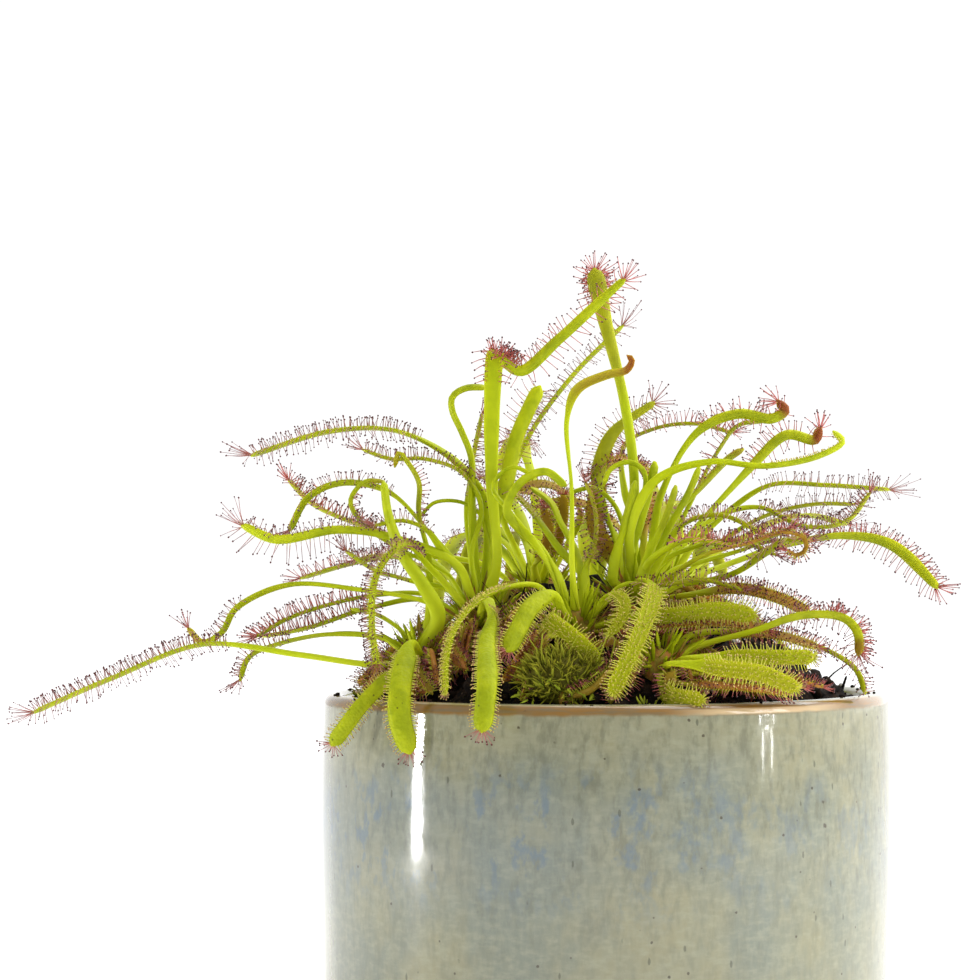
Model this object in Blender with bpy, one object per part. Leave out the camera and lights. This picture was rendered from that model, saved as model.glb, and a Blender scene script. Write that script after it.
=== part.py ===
"""Potted Cape sundew: a clump of eight crowns on a mound of peat in a round glazed pot.

Lengths in the tables are millimetres. The origin is the middle of the pot's underside,
+Z is up, and the plant's fuller side with the longest leaves reaches towards -X.
"""

import math

import bmesh
import bpy
import numpy as np

MM = 0.001
GAP = 0.3  # clearance between pieces that touch

# Pot: a slightly barrelled cylinder with a rounded lip and a flat base.
POT_HEIGHT = 68.0
POT_BELLY = 60.0  # outer radius at the widest height
POT_BELLY_HEIGHT = 40.0
POT_NARROWING = 0.8  # how much less the radius is at the lip and at the foot
POT_WALL = 4.6
POT_FLOOR = 6.0
POT_EDGE = 2.0  # radius of the rounded edge under the foot
POT_SIDES = 48

# Peat: a mound that fills the pot and stands above its lip.
PEAT_EDGE = 66.0  # height where it meets the wall
PEAT_RISE = 27.0
PEAT_POWER = 1.5
PEAT_SIDES = 36
PEAT_RINGS = 7

# Crowns: node name, centre and radius of each short rosette stem.
CROWNS = {
    "left": ((-26, -15, 83.5), 7.0),
    "front": ((-7, -31, 82.5), 6.5),
    "middle": ((5, -20, 88), 7.5),
    "low_right": ((9, -42, 75.5), 5.5),
    "low_left": ((-38, -21, 76), 6.0),
    "back_left": ((-14, 14, 88.5), 7.5),
    "back_right": ((12, 16, 88.5), 7.5),
    "back": ((-2, 37, 80), 6.5),
}
CROWN_SEGMENTS = 12
CROWN_RINGS = 7

MOSS_CENTRE = (-10, -47, 73)
MOSS_RADII = (9.5, 5.0, 6.5)

# Leaves.
LEAF_STEP = 4.6  # distance between cross-sections
CURL_STEP = 2.6  # the same on a leaf with a coiled tip
LEAF_THICKNESS = 1.3
TIP_LENGTH = 5.0  # length over which a blade rounds off
TIP_WIDTH = 0.9

# Leaves whose tip is coiled.
CURLED = (
    "leaf_left_1",
    "leaf_left_4",
    "leaf_left_9",
    "leaf_front_1",
    "leaf_front_5",
    "leaf_middle_2",
    "leaf_middle_3",
    "leaf_middle_4",
)

# Ways that a blade's upper face can look.
UP, FAR, NEAR, LEFT, RIGHT = (0, 0, 1), (0, 1, 0), (0, -1, 0), (-1, 0, 0), (1, 0, 0)
FAR_UP, NEAR_LEFT = (0, 0.6, 0.8), (-0.7, -0.7, 0)

# One row a leaf: name, crown, width of the stalk and of the blade, share of the length
# where the blade begins, way that its upper face looks, and the points that it passes
# after leaving the crown.
LEAVES = [
    ("leaf_low_left_1", "low_left", 2.0, 4.2, 0.45, UP,
     [(-49, -25, 76), (-63, -27, 78), (-82, -28, 80), (-101, -28, 73), (-117, -28, 66)]),
    ("leaf_low_left_2", "low_left", 1.9, 3.4, 0.40, UP,
     [(-46, -18, 81), (-55, -17, 82), (-67, -16, 80), (-74, -15, 77), (-76, -15, 72)]),
    ("leaf_low_left_3", "low_left", 2.4, 4.4, 0.35, FAR,
     [(-40, -31, 80), (-41, -40, 78), (-42, -46, 72), (-42, -48, 66), (-40, -48, 59)]),
    ("leaf_low_left_4", "low_left", 2.0, 3.1, 0.35, FAR,
     [(-42, -29, 75), (-45, -36, 73), (-50, -38, 68), (-53, -38, 64), (-56, -37, 60)]),
    ("leaf_low_left_5", "low_left", 3.6, 3.2, 0.55, FAR,
     [(-35, -26, 86), (-38, -28, 92), (-42, -28, 98), (-45, -27, 106), (-46, -26, 113)]),
    ("leaf_left_1", "left", 1.6, 2.0, 0.55, UP,
     [(-39, -17, 89), (-51, -15, 91), (-66, -13, 92), (-77, -13, 87), (-80, -13, 82),
      (-84, -13, 80), (-87, -13, 83)]),
    ("leaf_left_2", "left", 1.8, 3.2, 0.45, UP,
     [(-39, -10, 89), (-50, -9, 87), (-62, -8, 83), (-72, -7, 81)]),
    ("leaf_left_3", "left", 2.2, 2.9, 0.45, FAR_UP,
     [(-31, -22, 96), (-42, -22, 101), (-55, -24, 103), (-68, -25, 101), (-75, -25, 104)]),
    ("leaf_left_4", "left", 1.4, 2.1, 0.50, UP,
     [(-31, -14, 96), (-37, -15, 103), (-45, -15, 111), (-55, -14, 113), (-62, -13, 110),
      (-66, -13, 103)]),
    ("leaf_left_5", "left", 1.8, 3.0, 0.50, UP,
     [(-34, -10, 95), (-45, -6, 102), (-56, -4, 106), (-62, -3, 109), (-67, -3, 114)]),
    ("leaf_left_6", "left", 2.0, 1.6, 0.35, NEAR_LEFT,
     [(-36, -23, 95), (-42, -33, 100), (-47, -35, 94), (-48, -35, 85), (-47, -34, 76)]),
    ("leaf_left_7", "left", 2.0, 3.6, 0.50, UP,
     [(-25, -12, 98), (-25, -12, 108), (-32, -11, 118), (-44, -8, 124), (-58, -4, 124),
      (-75, 0, 119)]),
    ("leaf_left_8", "left", 2.2, 3.4, 0.55, RIGHT,
     [(-28, -9, 98), (-29, -5, 108), (-28, -3, 118), (-26, -2, 128)]),
    ("leaf_left_9", "left", 2.0, 2.4, 0.62, FAR_UP,
     [(-23, -21, 97), (-24, -22, 112), (-24, -23, 128), (-23.5, -23, 137.5), (-23, -21.5, 139.5),
      (-21.5, -20, 137.5), (-18, -20, 135.5), (-10, -23, 142), (3, -27, 154)]),
    ("leaf_left_10", "left", 2.2, 3.9, 0.50, FAR,
     [(-25, -26, 89), (-24, -37, 86), (-25, -49, 81), (-25, -60, 73), (-26, -63, 64)]),
    ("leaf_front_1", "front", 1.2, 1.8, 0.64, UP,
     [(-8, -34, 97), (-8, -35, 112), (-9, -35, 125), (-7, -35, 131), (-1, -35, 134),
      (3, -35, 135), (4, -35, 137), (3, -35, 138)]),
    ("leaf_front_2", "front", 1.8, 2.0, 0.35, UP,
     [(-15, -35, 92), (-25, -42, 90), (-31, -45, 84), (-33, -47, 77), (-33, -48, 71)]),
    ("leaf_front_3", "front", 2.0, 3.6, 0.35, FAR,
     [(-12, -40, 90), (-16, -44, 88), (-19, -47, 83), (-21, -49, 79)]),
    ("leaf_front_4", "front", 2.0, 3.4, 0.35, NEAR,
     [(4, -37, 86), (12, -41, 86), (20, -43, 87), (28, -44, 86)]),
    ("leaf_front_5", "front", 2.4, 1.8, 0.45, UP,
     [(-11, -28, 95), (-15, -25, 100), (-21, -27, 107), (-18, -28, 113), (-13, -29, 115),
      (-9, -30, 112)]),
    ("leaf_middle_1", "middle", 2.0, 4.2, 0.60, FAR,
     [(5, -21, 102), (5, -22, 115), (3, -21, 130), (-1, -20, 147), (-3, -19, 157)]),
    ("leaf_middle_2", "middle", 2.0, 1.9, 0.60, UP,
     [(4, -28, 103), (9, -29, 113), (20, -29, 117), (31, -29, 116), (42, -28, 118),
      (47, -28, 121), (45, -28, 123)]),
    ("leaf_middle_3", "middle", 2.0, 2.4, 0.60, FAR_UP,
     [(9, -16, 101), (11, -15, 111), (18, -14, 123), (27, -14, 127), (34, -14, 126),
      (37, -14, 128), (35, -14, 130)]),
    ("leaf_middle_4", "middle", 1.8, 2.4, 0.60, FAR_UP,
     [(14, -15, 99), (22, -10, 108), (31, -6, 117), (38, -5, 123), (44, -5, 122),
      (45, -5, 125)]),
    ("leaf_middle_5", "middle", 2.0, 3.0, 0.45, UP,
     [(11, -27, 99), (14, -30, 104), (22, -32, 106), (31, -32, 102)]),
    ("leaf_middle_6", "middle", 2.0, 3.2, 0.40, UP,
     [(8, -31, 97), (15, -38, 101), (25, -41, 100), (35, -41, 103)]),
    ("leaf_middle_7", "middle", 2.0, 3.2, 0.40, UP,
     [(15, -28, 90), (26, -31, 91), (34, -32, 89), (40, -32, 86)]),
    ("leaf_middle_8", "middle", 2.0, 3.2, 0.35, NEAR,
     [(6, -32, 93), (8, -42, 91), (5, -50, 83), (2, -54, 77), (-1, -56, 71)]),
    ("leaf_middle_9", "middle", 2.0, 3.5, 0.55, FAR_UP,
     [(16, -15, 93), (27, -9, 97), (36, -6, 100), (50, -4, 102), (60, -3, 100),
      (70, -2, 91)]),
    ("leaf_middle_10", "middle", 1.8, 2.8, 0.50, UP,
     [(14, -21, 99), (22, -18, 106), (31, -17, 108), (40, -17, 104), (49, -17, 105),
      (54, -17, 111)]),
    ("leaf_middle_11", "middle", 1.8, 3.0, 0.45, FAR,
     [(2, -14, 101), (-2, -12, 112), (1, -10, 123), (10, -9, 130)]),
    ("leaf_low_right_1", "low_right", 1.8, 2.4, 0.45, FAR_UP,
     [(16, -43, 80), (27, -45, 83), (38, -44, 86), (45.5, -43, 85.3), (48, -43, 82.6),
      (48.3, -43, 78)]),
    ("leaf_low_right_2", "low_right", 1.6, 3.0, 0.40, NEAR,
     [(14, -49, 78), (22, -51, 78), (31, -51, 78), (39, -50, 78)]),
    ("leaf_low_right_3", "low_right", 1.8, 3.2, 0.40, NEAR,
     [(11, -52, 77), (21, -58, 76), (28, -58, 75), (35, -57, 72)]),
    ("leaf_low_right_4", "low_right", 2.0, 2.6, 0.45, UP,
     [(15, -39, 82), (23, -37, 83), (33, -35, 82), (43, -33, 79), (49, -32, 75),
      (51, -32, 70)]),
    ("leaf_back_left_1", "back_left", 2.0, 3.6, 0.50, UP,
     [(-19, 12, 100), (-22, 7, 109), (-17, 4, 122), (-7, 3, 136), (4, 3, 147)]),
    ("leaf_back_left_2", "back_left", 2.2, 4.0, 0.45, UP,
     [(-20, 23, 97), (-26, 36, 103), (-32, 49, 101), (-36, 60, 92), (-38, 66, 80)]),
    ("leaf_back_left_3", "back_left", 2.2, 4.2, 0.45, UP,
     [(-15, 25, 97), (-18, 38, 108), (-22, 52, 111), (-26, 65, 104), (-28, 72, 93)]),
    ("leaf_back_left_4", "back_left", 2.0, 3.8, 0.55, UP,
     [(-14, 18, 102), (-15, 25, 114), (-17, 35, 122), (-19, 47, 124), (-22, 57, 118)]),
    ("leaf_back_left_5", "back_left", 2.0, 3.6, 0.45, UP,
     [(-25, 14, 96), (-37, 16, 98), (-51, 18, 97), (-66, 20, 93)]),
    ("leaf_back_right_1", "back_right", 2.0, 3.4, 0.50, UP,
     [(19, 11, 100), (27, 8, 108), (35, 6, 113), (47, 5, 113), (61, 5, 112)]),
    ("leaf_back_right_2", "back_right", 2.0, 4.0, 0.45, UP,
     [(18, 26, 97), (22, 39, 103), (24, 52, 101), (24, 62, 93), (23, 68, 82)]),
    ("leaf_back_right_3", "back_right", 2.0, 4.0, 0.45, UP,
     [(13, 27, 97), (15, 41, 107), (17, 56, 110), (19, 68, 103), (20, 75, 92)]),
    ("leaf_back_right_4", "back_right", 2.0, 3.8, 0.55, UP,
     [(11, 18, 102), (12, 26, 112), (9, 36, 118), (4, 46, 119), (1, 54, 116)]),
    ("leaf_back_right_5", "back_right", 2.0, 3.8, 0.45, UP,
     [(22, 20, 97), (33, 27, 103), (45, 35, 107), (56, 43, 105)]),
    ("leaf_back_1", "back", 2.4, 4.4, 0.40, UP,
     [(-7, 46, 88), (-12, 56, 87), (-18, 65, 79), (-20, 69, 69), (-21, 70, 59)]),
    ("leaf_back_2", "back", 2.0, 3.6, 0.45, UP,
     [(-12, 40, 88), (-25, 45, 89), (-39, 49, 83), (-47, 51, 75), (-51, 52, 66)]),
    ("leaf_back_3", "back", 2.0, 3.6, 0.45, UP,
     [(7, 41, 88), (20, 45, 90), (34, 48, 85), (43, 50, 76), (47, 51, 67)]),
    ("leaf_back_4", "back", 2.0, 3.8, 0.50, UP,
     [(-1, 42, 95), (-1, 49, 104), (-2, 60, 107), (-2, 70, 102), (-1, 76, 92)]),
]

# Leaves whose width isn't that of a plain stalk and blade: (share of the length, width).
WIDTHS = {
    "leaf_low_left_5": ((0, 4.2), (0.25, 3.7), (0.6, 2.6), (1, 1.6)),
    "leaf_left_3": ((0, 2.2), (0.4, 1.9), (0.7, 2.7), (0.92, 2.9), (1, 2.2)),
    "leaf_left_6": ((0, 2.0), (0.4, 1.6), (1, 1.6)),
    "leaf_left_9": ((0, 2.0), (0.2, 2.1), (0.33, 2.7), (0.45, 3.8), (0.53, 4.3), (0.575, 4.3),
                    (0.62, 2.7), (0.92, 2.2), (1, 1.4)),
    "leaf_front_1": ((0, 1.4), (0.3, 1.2), (0.62, 1.2), (0.7, 1.9), (0.93, 1.8), (1, 1.5)),
    "leaf_front_5": ((0, 2.4), (0.5, 2.0), (1, 1.5)),
    "leaf_middle_1": ((0, 2.0), (0.62, 2.0), (0.8, 2.8), (0.93, 4.2), (1, 4.0)),
}

# A leaf whose stalk is a flat strap: the way that its upper side looks.
STRAPS = {"leaf_left_9": NEAR}


def add_object(name, points, faces, colour, roughness):
    """An object of that name and shape, in millimetres, with a material of its own."""
    mesh = bpy.data.meshes.new(name)
    mesh.from_pydata([tuple(MM * c for c in point) for point in points], [], faces)
    mesh.shade_smooth()
    mesh.set_sharp_from_angle(angle=math.radians(40))
    material = bpy.data.materials.new(name)
    material.use_nodes = True
    shader = material.node_tree.nodes["Principled BSDF"]
    shader.inputs["Base Color"].default_value = (*colour, 1)
    shader.inputs["Roughness"].default_value = roughness
    mesh.materials.append(material)
    obj = bpy.data.objects.new(name, mesh)
    bpy.context.collection.objects.link(obj)
    return obj


def turned(profile, sides):
    """Points and faces of a profile of (radius, height) pairs turned about Z, its ends on the axis."""
    points, rings = [], []
    for radius, height in profile:
        count = sides if radius > 0 else 1
        rings.append([len(points) + i for i in range(count)])
        for i in range(count):
            angle = math.tau * i / sides
            points.append((radius * math.cos(angle), radius * math.sin(angle), height))
    faces = []
    for lower, upper in zip(rings, rings[1:]):
        for i in range(sides):
            corners = [
                lower[i % len(lower)],
                lower[(i + 1) % len(lower)],
                upper[(i + 1) % len(upper)],
                upper[i % len(upper)],
            ]
            faces.append(list(dict.fromkeys(corners)))
    return points, faces


def pot_radius(height):
    """Outer radius at a height: widest at the belly, less at the lip and the foot by a cosine."""
    reach = POT_HEIGHT - POT_BELLY_HEIGHT if height > POT_BELLY_HEIGHT else POT_BELLY_HEIGHT
    share = (height - POT_BELLY_HEIGHT) / reach
    return POT_BELLY - POT_NARROWING * (1 - math.cos(share * math.pi / 2))


def arc(centre, radius, start, end, steps):
    """Points (radius, height) on an arc between two angles in degrees."""
    angles = [math.radians(start + (end - start) * i / steps) for i in range(steps + 1)]
    return [
        (centre[0] + radius * math.cos(a), centre[1] + radius * math.sin(a)) for a in angles
    ]


def make_pot():
    lip = POT_WALL / 2
    lip_centre = (pot_radius(POT_HEIGHT - lip) - lip, POT_HEIGHT - lip)
    inner = lip_centre[0] - lip
    foot_centre = (pot_radius(POT_EDGE) - POT_EDGE, POT_EDGE)
    profile = [(0, 0)]
    profile += arc(foot_centre, POT_EDGE, -90, 0, 3)
    profile += [(pot_radius(z), z) for z in range(12, 64, 14)]
    profile += arc(lip_centre, lip, 0, 180, 6)
    profile += [(inner, POT_FLOOR + 3), (inner - 3, POT_FLOOR), (0, POT_FLOOR)]
    add_object("pot", *turned(profile, POT_SIDES), (0.42, 0.44, 0.38), 0.12)
    return inner


def peat_height(distance, inner):
    """Height of the peat's surface at a distance from the pot's axis."""
    return PEAT_EDGE + PEAT_RISE * (1 - (distance / inner) ** PEAT_POWER)


def make_peat(inner, cutters):
    """The peat mound, which fills the pot and has a socket for each crown and for the moss."""
    edge = inner - GAP
    floor = POT_FLOOR + GAP
    profile = [(0, floor), (edge - 3, floor), (edge, floor + 3)]
    for ring in range(PEAT_RINGS):
        radius = edge * (1 - ring / PEAT_RINGS)
        profile.append((radius, peat_height(radius, inner)))
    profile.append((0, peat_height(0, inner)))
    peat = add_object("peat", *turned(profile, PEAT_SIDES), (0.03, 0.022, 0.016), 0.9)
    sockets = peat.modifiers.new("sockets", "BOOLEAN")
    sockets.operation = "DIFFERENCE"
    sockets.solver = "EXACT"
    sockets.operand_type = "COLLECTION"
    sockets.collection = cutters


def ball(radii, segments, rings):
    """Points and faces of an ellipsoid about its own middle."""
    profile = arc((0, 0), 1, -90, 90, rings)
    profile[0], profile[-1] = (0, -1), (0, 1)
    points, faces = turned(profile, segments)
    return [[c * r for c, r in zip(point, radii)] for point in points], faces


def make_seated(name, centre, radii, colour, cutters):
    """An ellipsoid set into the peat, with the cutter that makes its socket."""
    shape = ball(radii, CROWN_SEGMENTS, CROWN_RINGS)
    seated = add_object(name, *shape, colour, 0.7)
    socket = ball([r + GAP for r in radii], CROWN_SEGMENTS, CROWN_RINGS)
    cutter = add_object(name + "_socket", *socket, colour, 0.7)
    bpy.context.collection.objects.unlink(cutter)
    cutters.objects.link(cutter)
    cutter.hide_render = True
    cutter.display_type = "WIRE"
    for obj in (seated, cutter):
        obj.location = [MM * c for c in centre]
    return seated


def smooth_route(points, step):
    """Stations about one step apart on a centripetal Catmull-Rom curve through the points."""
    points = np.array(points, float)
    ends = [2 * points[0] - points[1], *points, 2 * points[-1] - points[-2]]
    dense = []
    for p0, p1, p2, p3 in zip(ends, ends[1:], ends[2:], ends[3:]):
        t0 = 0.0
        t1 = t0 + math.sqrt(np.linalg.norm(p1 - p0))
        t2 = t1 + math.sqrt(np.linalg.norm(p2 - p1))
        t3 = t2 + math.sqrt(np.linalg.norm(p3 - p2))
        for t in np.linspace(t1, t2, 24, endpoint=False):
            a1 = (t1 - t) / (t1 - t0) * p0 + (t - t0) / (t1 - t0) * p1
            a2 = (t2 - t) / (t2 - t1) * p1 + (t - t1) / (t2 - t1) * p2
            a3 = (t3 - t) / (t3 - t2) * p2 + (t - t2) / (t3 - t2) * p3
            b1 = (t2 - t) / (t2 - t0) * a1 + (t - t0) / (t2 - t0) * a2
            b2 = (t3 - t) / (t3 - t1) * a2 + (t - t1) / (t3 - t1) * a3
            dense.append((t2 - t) / (t2 - t1) * b1 + (t - t1) / (t2 - t1) * b2)
    dense.append(points[-1])
    dense = np.array(dense)
    along = np.concatenate([[0], np.cumsum(np.linalg.norm(np.diff(dense, axis=0), axis=1))])
    count = max(4, round(along[-1] / step))
    stations = np.linspace(0, along[-1], count + 1)
    return np.stack([np.interp(stations, along, dense[:, i]) for i in range(3)], 1), stations


def leaf_frames(route):
    """At each station the direction along the leaf and the way that its upper side faces.

    The upper side starts up and towards the crown's axis, and is then carried along the
    route with no turning about it (the double reflection method).
    """
    along = np.gradient(route, axis=0)
    along /= np.linalg.norm(along, axis=1)[:, None]
    start = np.array([0, 0, 1.0]) - along[0, 2] * along[0]
    faces = [start / np.linalg.norm(start)]
    for i in range(len(route) - 1):
        step = route[i + 1] - route[i]
        mirrored = faces[-1] - 2 * np.dot(step, faces[-1]) / np.dot(step, step) * step
        turned_along = along[i] - 2 * np.dot(step, along[i]) / np.dot(step, step) * step
        change = along[i + 1] - turned_along
        if np.dot(change, change) > 1e-12:
            mirrored = mirrored - 2 * np.dot(change, mirrored) / np.dot(change, change) * change
        faces.append(mirrored / np.linalg.norm(mirrored))
    return along, np.array(faces)


def smoothstep(low, high, value):
    share = min(max((value - low) / (high - low), 0), 1)
    return share * share * (3 - 2 * share)


def leaf_width(name, share, length, stalk, blade, blade_start):
    """Width where that share of the length is passed: stalk, blade, then a rounded tip."""
    width = stalk + (blade - stalk) * smoothstep(blade_start - 0.08, blade_start + 0.1, share)
    if name in WIDTHS:
        width = float(np.interp(share, *zip(*WIDTHS[name])))
    into_tip = (share * length - (length - TIP_LENGTH)) / TIP_LENGTH
    if into_tip > 0:
        width = max(TIP_WIDTH, width * math.sqrt(max(0, 1 - into_tip**2)))
    return width


def turn_to_face(way, along, up):
    """Turn about the leaf's length, in radians, that brings its upper side nearest to a way."""
    side = np.cross(along, up)
    return math.atan2(np.dot(way, side), np.dot(way, up))


def make_leaf(name, crown, stalk, blade, blade_start, facing, points):
    centre, radius = CROWNS[crown]
    towards = np.subtract(points[0], centre)
    root = np.add(centre, towards / np.linalg.norm(towards) * (radius + GAP))
    curled = name in CURLED
    route, distances = smooth_route([root, *points], CURL_STEP if curled else LEAF_STEP)
    along, faces_up = leaf_frames(route)
    length = distances[-1]
    shares = distances / length
    first, turn_from = 0.0, 0.3 * blade_start
    if name in STRAPS:
        i = int(np.searchsorted(shares, 0.5 * blade_start))
        first, turn_from = turn_to_face(STRAPS[name], along[i], faces_up[i]), 0.9 * blade_start
    i = int(np.searchsorted(shares, 0.65 * blade_start + 0.35))
    turn = turn_to_face(facing, along[i], faces_up[i]) - first
    turn = math.remainder(turn, math.tau)
    corners, rings = [], []
    for i, (middle, forward, up) in enumerate(zip(route, along, faces_up)):
        share = distances[i] / length
        angle = first + turn * smoothstep(turn_from, blade_start + 0.05, share)
        side = np.cross(forward, up)
        up, side = (
            up * math.cos(angle) + side * math.sin(angle),
            side * math.cos(angle) - up * math.sin(angle),
        )
        half = leaf_width(name, share, length, stalk, blade, blade_start) / 2
        thick = LEAF_THICKNESS * (1 - 0.35 * share) / 2
        rings.append(range(len(corners), len(corners) + 6))
        for across, rise in ((1, 0), (0.5, 1), (-0.5, 1), (-1, 0), (-0.5, -1), (0.5, -1)):
            corners.append(middle + side * across * half + up * rise * thick - centre)
    faces = [list(rings[0])[::-1], list(rings[-1])]
    for lower, upper in zip(rings, rings[1:]):
        for i in range(6):
            faces.append([lower[i], lower[(i + 1) % 6], upper[(i + 1) % 6], upper[i]])
    leaf = add_object(name, corners, faces, (0.3, 0.42, 0.03), 0.45)
    leaf.parent = bpy.data.objects["crown_" + crown]


def face_outwards():
    """Turns the faces of every mesh outwards."""
    for mesh in bpy.data.meshes:
        shape = bmesh.new()
        shape.from_mesh(mesh)
        bmesh.ops.recalc_face_normals(shape, faces=shape.faces)
        shape.to_mesh(mesh)
        shape.free()


def main():
    for obj in list(bpy.data.objects):
        bpy.data.objects.remove(obj)
    cutters = bpy.data.collections.new("sockets")
    inner = make_pot()
    for name, (centre, radius) in CROWNS.items():
        make_seated("crown_" + name, centre, [radius] * 3, (0.2, 0.16, 0.05), cutters)
    make_seated("moss", MOSS_CENTRE, MOSS_RADII, (0.05, 0.12, 0.02), cutters)
    make_peat(inner, cutters)
    for leaf in LEAVES:
        make_leaf(*leaf)
    face_outwards()


main()
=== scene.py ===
"""Potted Cape sundew: the glazed pot, the peat, the crowns, the leaves and their tentacles.

Lengths in the tables are millimetres in the frame's own axes: the origin is the middle of
the pot's underside, +Z is up and the viewer stands on the -Y side.
"""

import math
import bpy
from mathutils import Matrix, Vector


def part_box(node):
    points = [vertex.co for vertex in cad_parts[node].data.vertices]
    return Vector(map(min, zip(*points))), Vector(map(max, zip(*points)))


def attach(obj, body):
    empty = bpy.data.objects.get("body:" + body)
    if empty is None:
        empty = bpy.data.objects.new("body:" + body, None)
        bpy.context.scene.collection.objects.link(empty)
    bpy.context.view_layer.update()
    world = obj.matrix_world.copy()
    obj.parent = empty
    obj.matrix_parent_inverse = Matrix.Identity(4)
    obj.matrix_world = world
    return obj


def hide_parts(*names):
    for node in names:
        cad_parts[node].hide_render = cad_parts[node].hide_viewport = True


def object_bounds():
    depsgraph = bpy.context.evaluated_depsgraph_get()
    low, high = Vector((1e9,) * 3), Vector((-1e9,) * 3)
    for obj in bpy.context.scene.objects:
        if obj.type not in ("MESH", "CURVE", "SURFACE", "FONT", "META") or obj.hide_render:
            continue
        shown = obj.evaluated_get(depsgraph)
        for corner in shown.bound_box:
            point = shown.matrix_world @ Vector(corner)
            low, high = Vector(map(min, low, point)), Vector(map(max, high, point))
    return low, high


bl_info = {
    "name": "Potted Sundew",
    "version": (1, 0, 0),
    "blender": (4, 5, 0),
    "location": "3D View > Sidebar > Sundew",
    "description": "Builds a Cape sundew in a glazed pot round its packed solids",
    "category": "Object",
}

import bpy
import numpy as np
from bpy.props import FloatProperty, FloatVectorProperty, IntProperty, PointerProperty

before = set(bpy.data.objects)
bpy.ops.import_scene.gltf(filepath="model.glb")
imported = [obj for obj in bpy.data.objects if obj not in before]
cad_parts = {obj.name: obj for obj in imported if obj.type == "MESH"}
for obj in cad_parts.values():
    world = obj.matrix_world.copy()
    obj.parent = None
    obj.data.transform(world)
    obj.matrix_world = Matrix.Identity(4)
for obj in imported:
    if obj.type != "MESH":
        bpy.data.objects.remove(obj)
CAD_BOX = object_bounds()
MM = 0.001

# Crowns: name, centre and radius of each short rosette stem.
CROWNS = {
    "left": ((-26, -15, 83.5), 7.0),
    "front": ((-7, -31, 82.5), 6.5),
    "middle": ((5, -20, 88), 7.5),
    "low_right": ((9, -42, 75.5), 5.5),
    "low_left": ((-38, -21, 76), 6.0),
    "back_left": ((-14, 14, 88.5), 7.5),
    "back_right": ((12, 16, 88.5), 7.5),
    "back": ((-2, 37, 80), 6.5),
}

# Ways that a blade's upper face can look.
UP, FAR, NEAR, RIGHT = (0, 0, 1), (0, 1, 0), (0, -1, 0), (1, 0, 0)
FAR_UP, NEAR_UP, NEAR_LEFT = (0, 0.6, 0.8), (0, -0.7, 0.7), (-0.7, -0.7, 0)

# How a blade carries its tentacles: space between them, lengths on the upper face, along
# the margins and at the tip, how far the margins' ones bend up (or down, where negative),
# how red they are and how much of their length is yellow-green.
HABITS = {
    "spread": (0.92, 2.1, 4.8, 6.6, -0.85, 0.20, 0.15),
    "dark": (0.82, 1.9, 2.8, 4.6, -0.40, 0.40, 0.20),
    "drooping": (0.52, 0.7, 0.95, 3.0, 0.10, 0.55, 0.85),
    "bristly": (0.54, 0.65, 1.35, 1.8, 0.00, 0.45, 0.95),
    "beaded": (0.50, 0.4, 0.5, 0.0, 0.30, 0.20, 0.95),
    "matted": (0.55, 1.7, 2.0, 0.0, 0.20, 0.85, 0.50),
    "rusty": (0.50, 1.4, 1.9, 2.4, 0.00, 0.95, 0.40),
    "dense": (0.42, 1.7, 2.0, 2.6, 0.00, 0.35, 0.35),
    "young": (1.05, 1.5, 1.3, 0.0, 0.35, 0.80, 0.10),
    "misty": (0.82, 2.6, 3.2, 4.4, -0.25, 0.90, 0.05),
    "strap": (0.95, 1.8, 3.0, 0.0, -0.40, 0.45, 0.20),
    "bare": (9.0, 0.0, 0.0, 0.0, 0.0, 0.5, 0.1),
}

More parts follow.
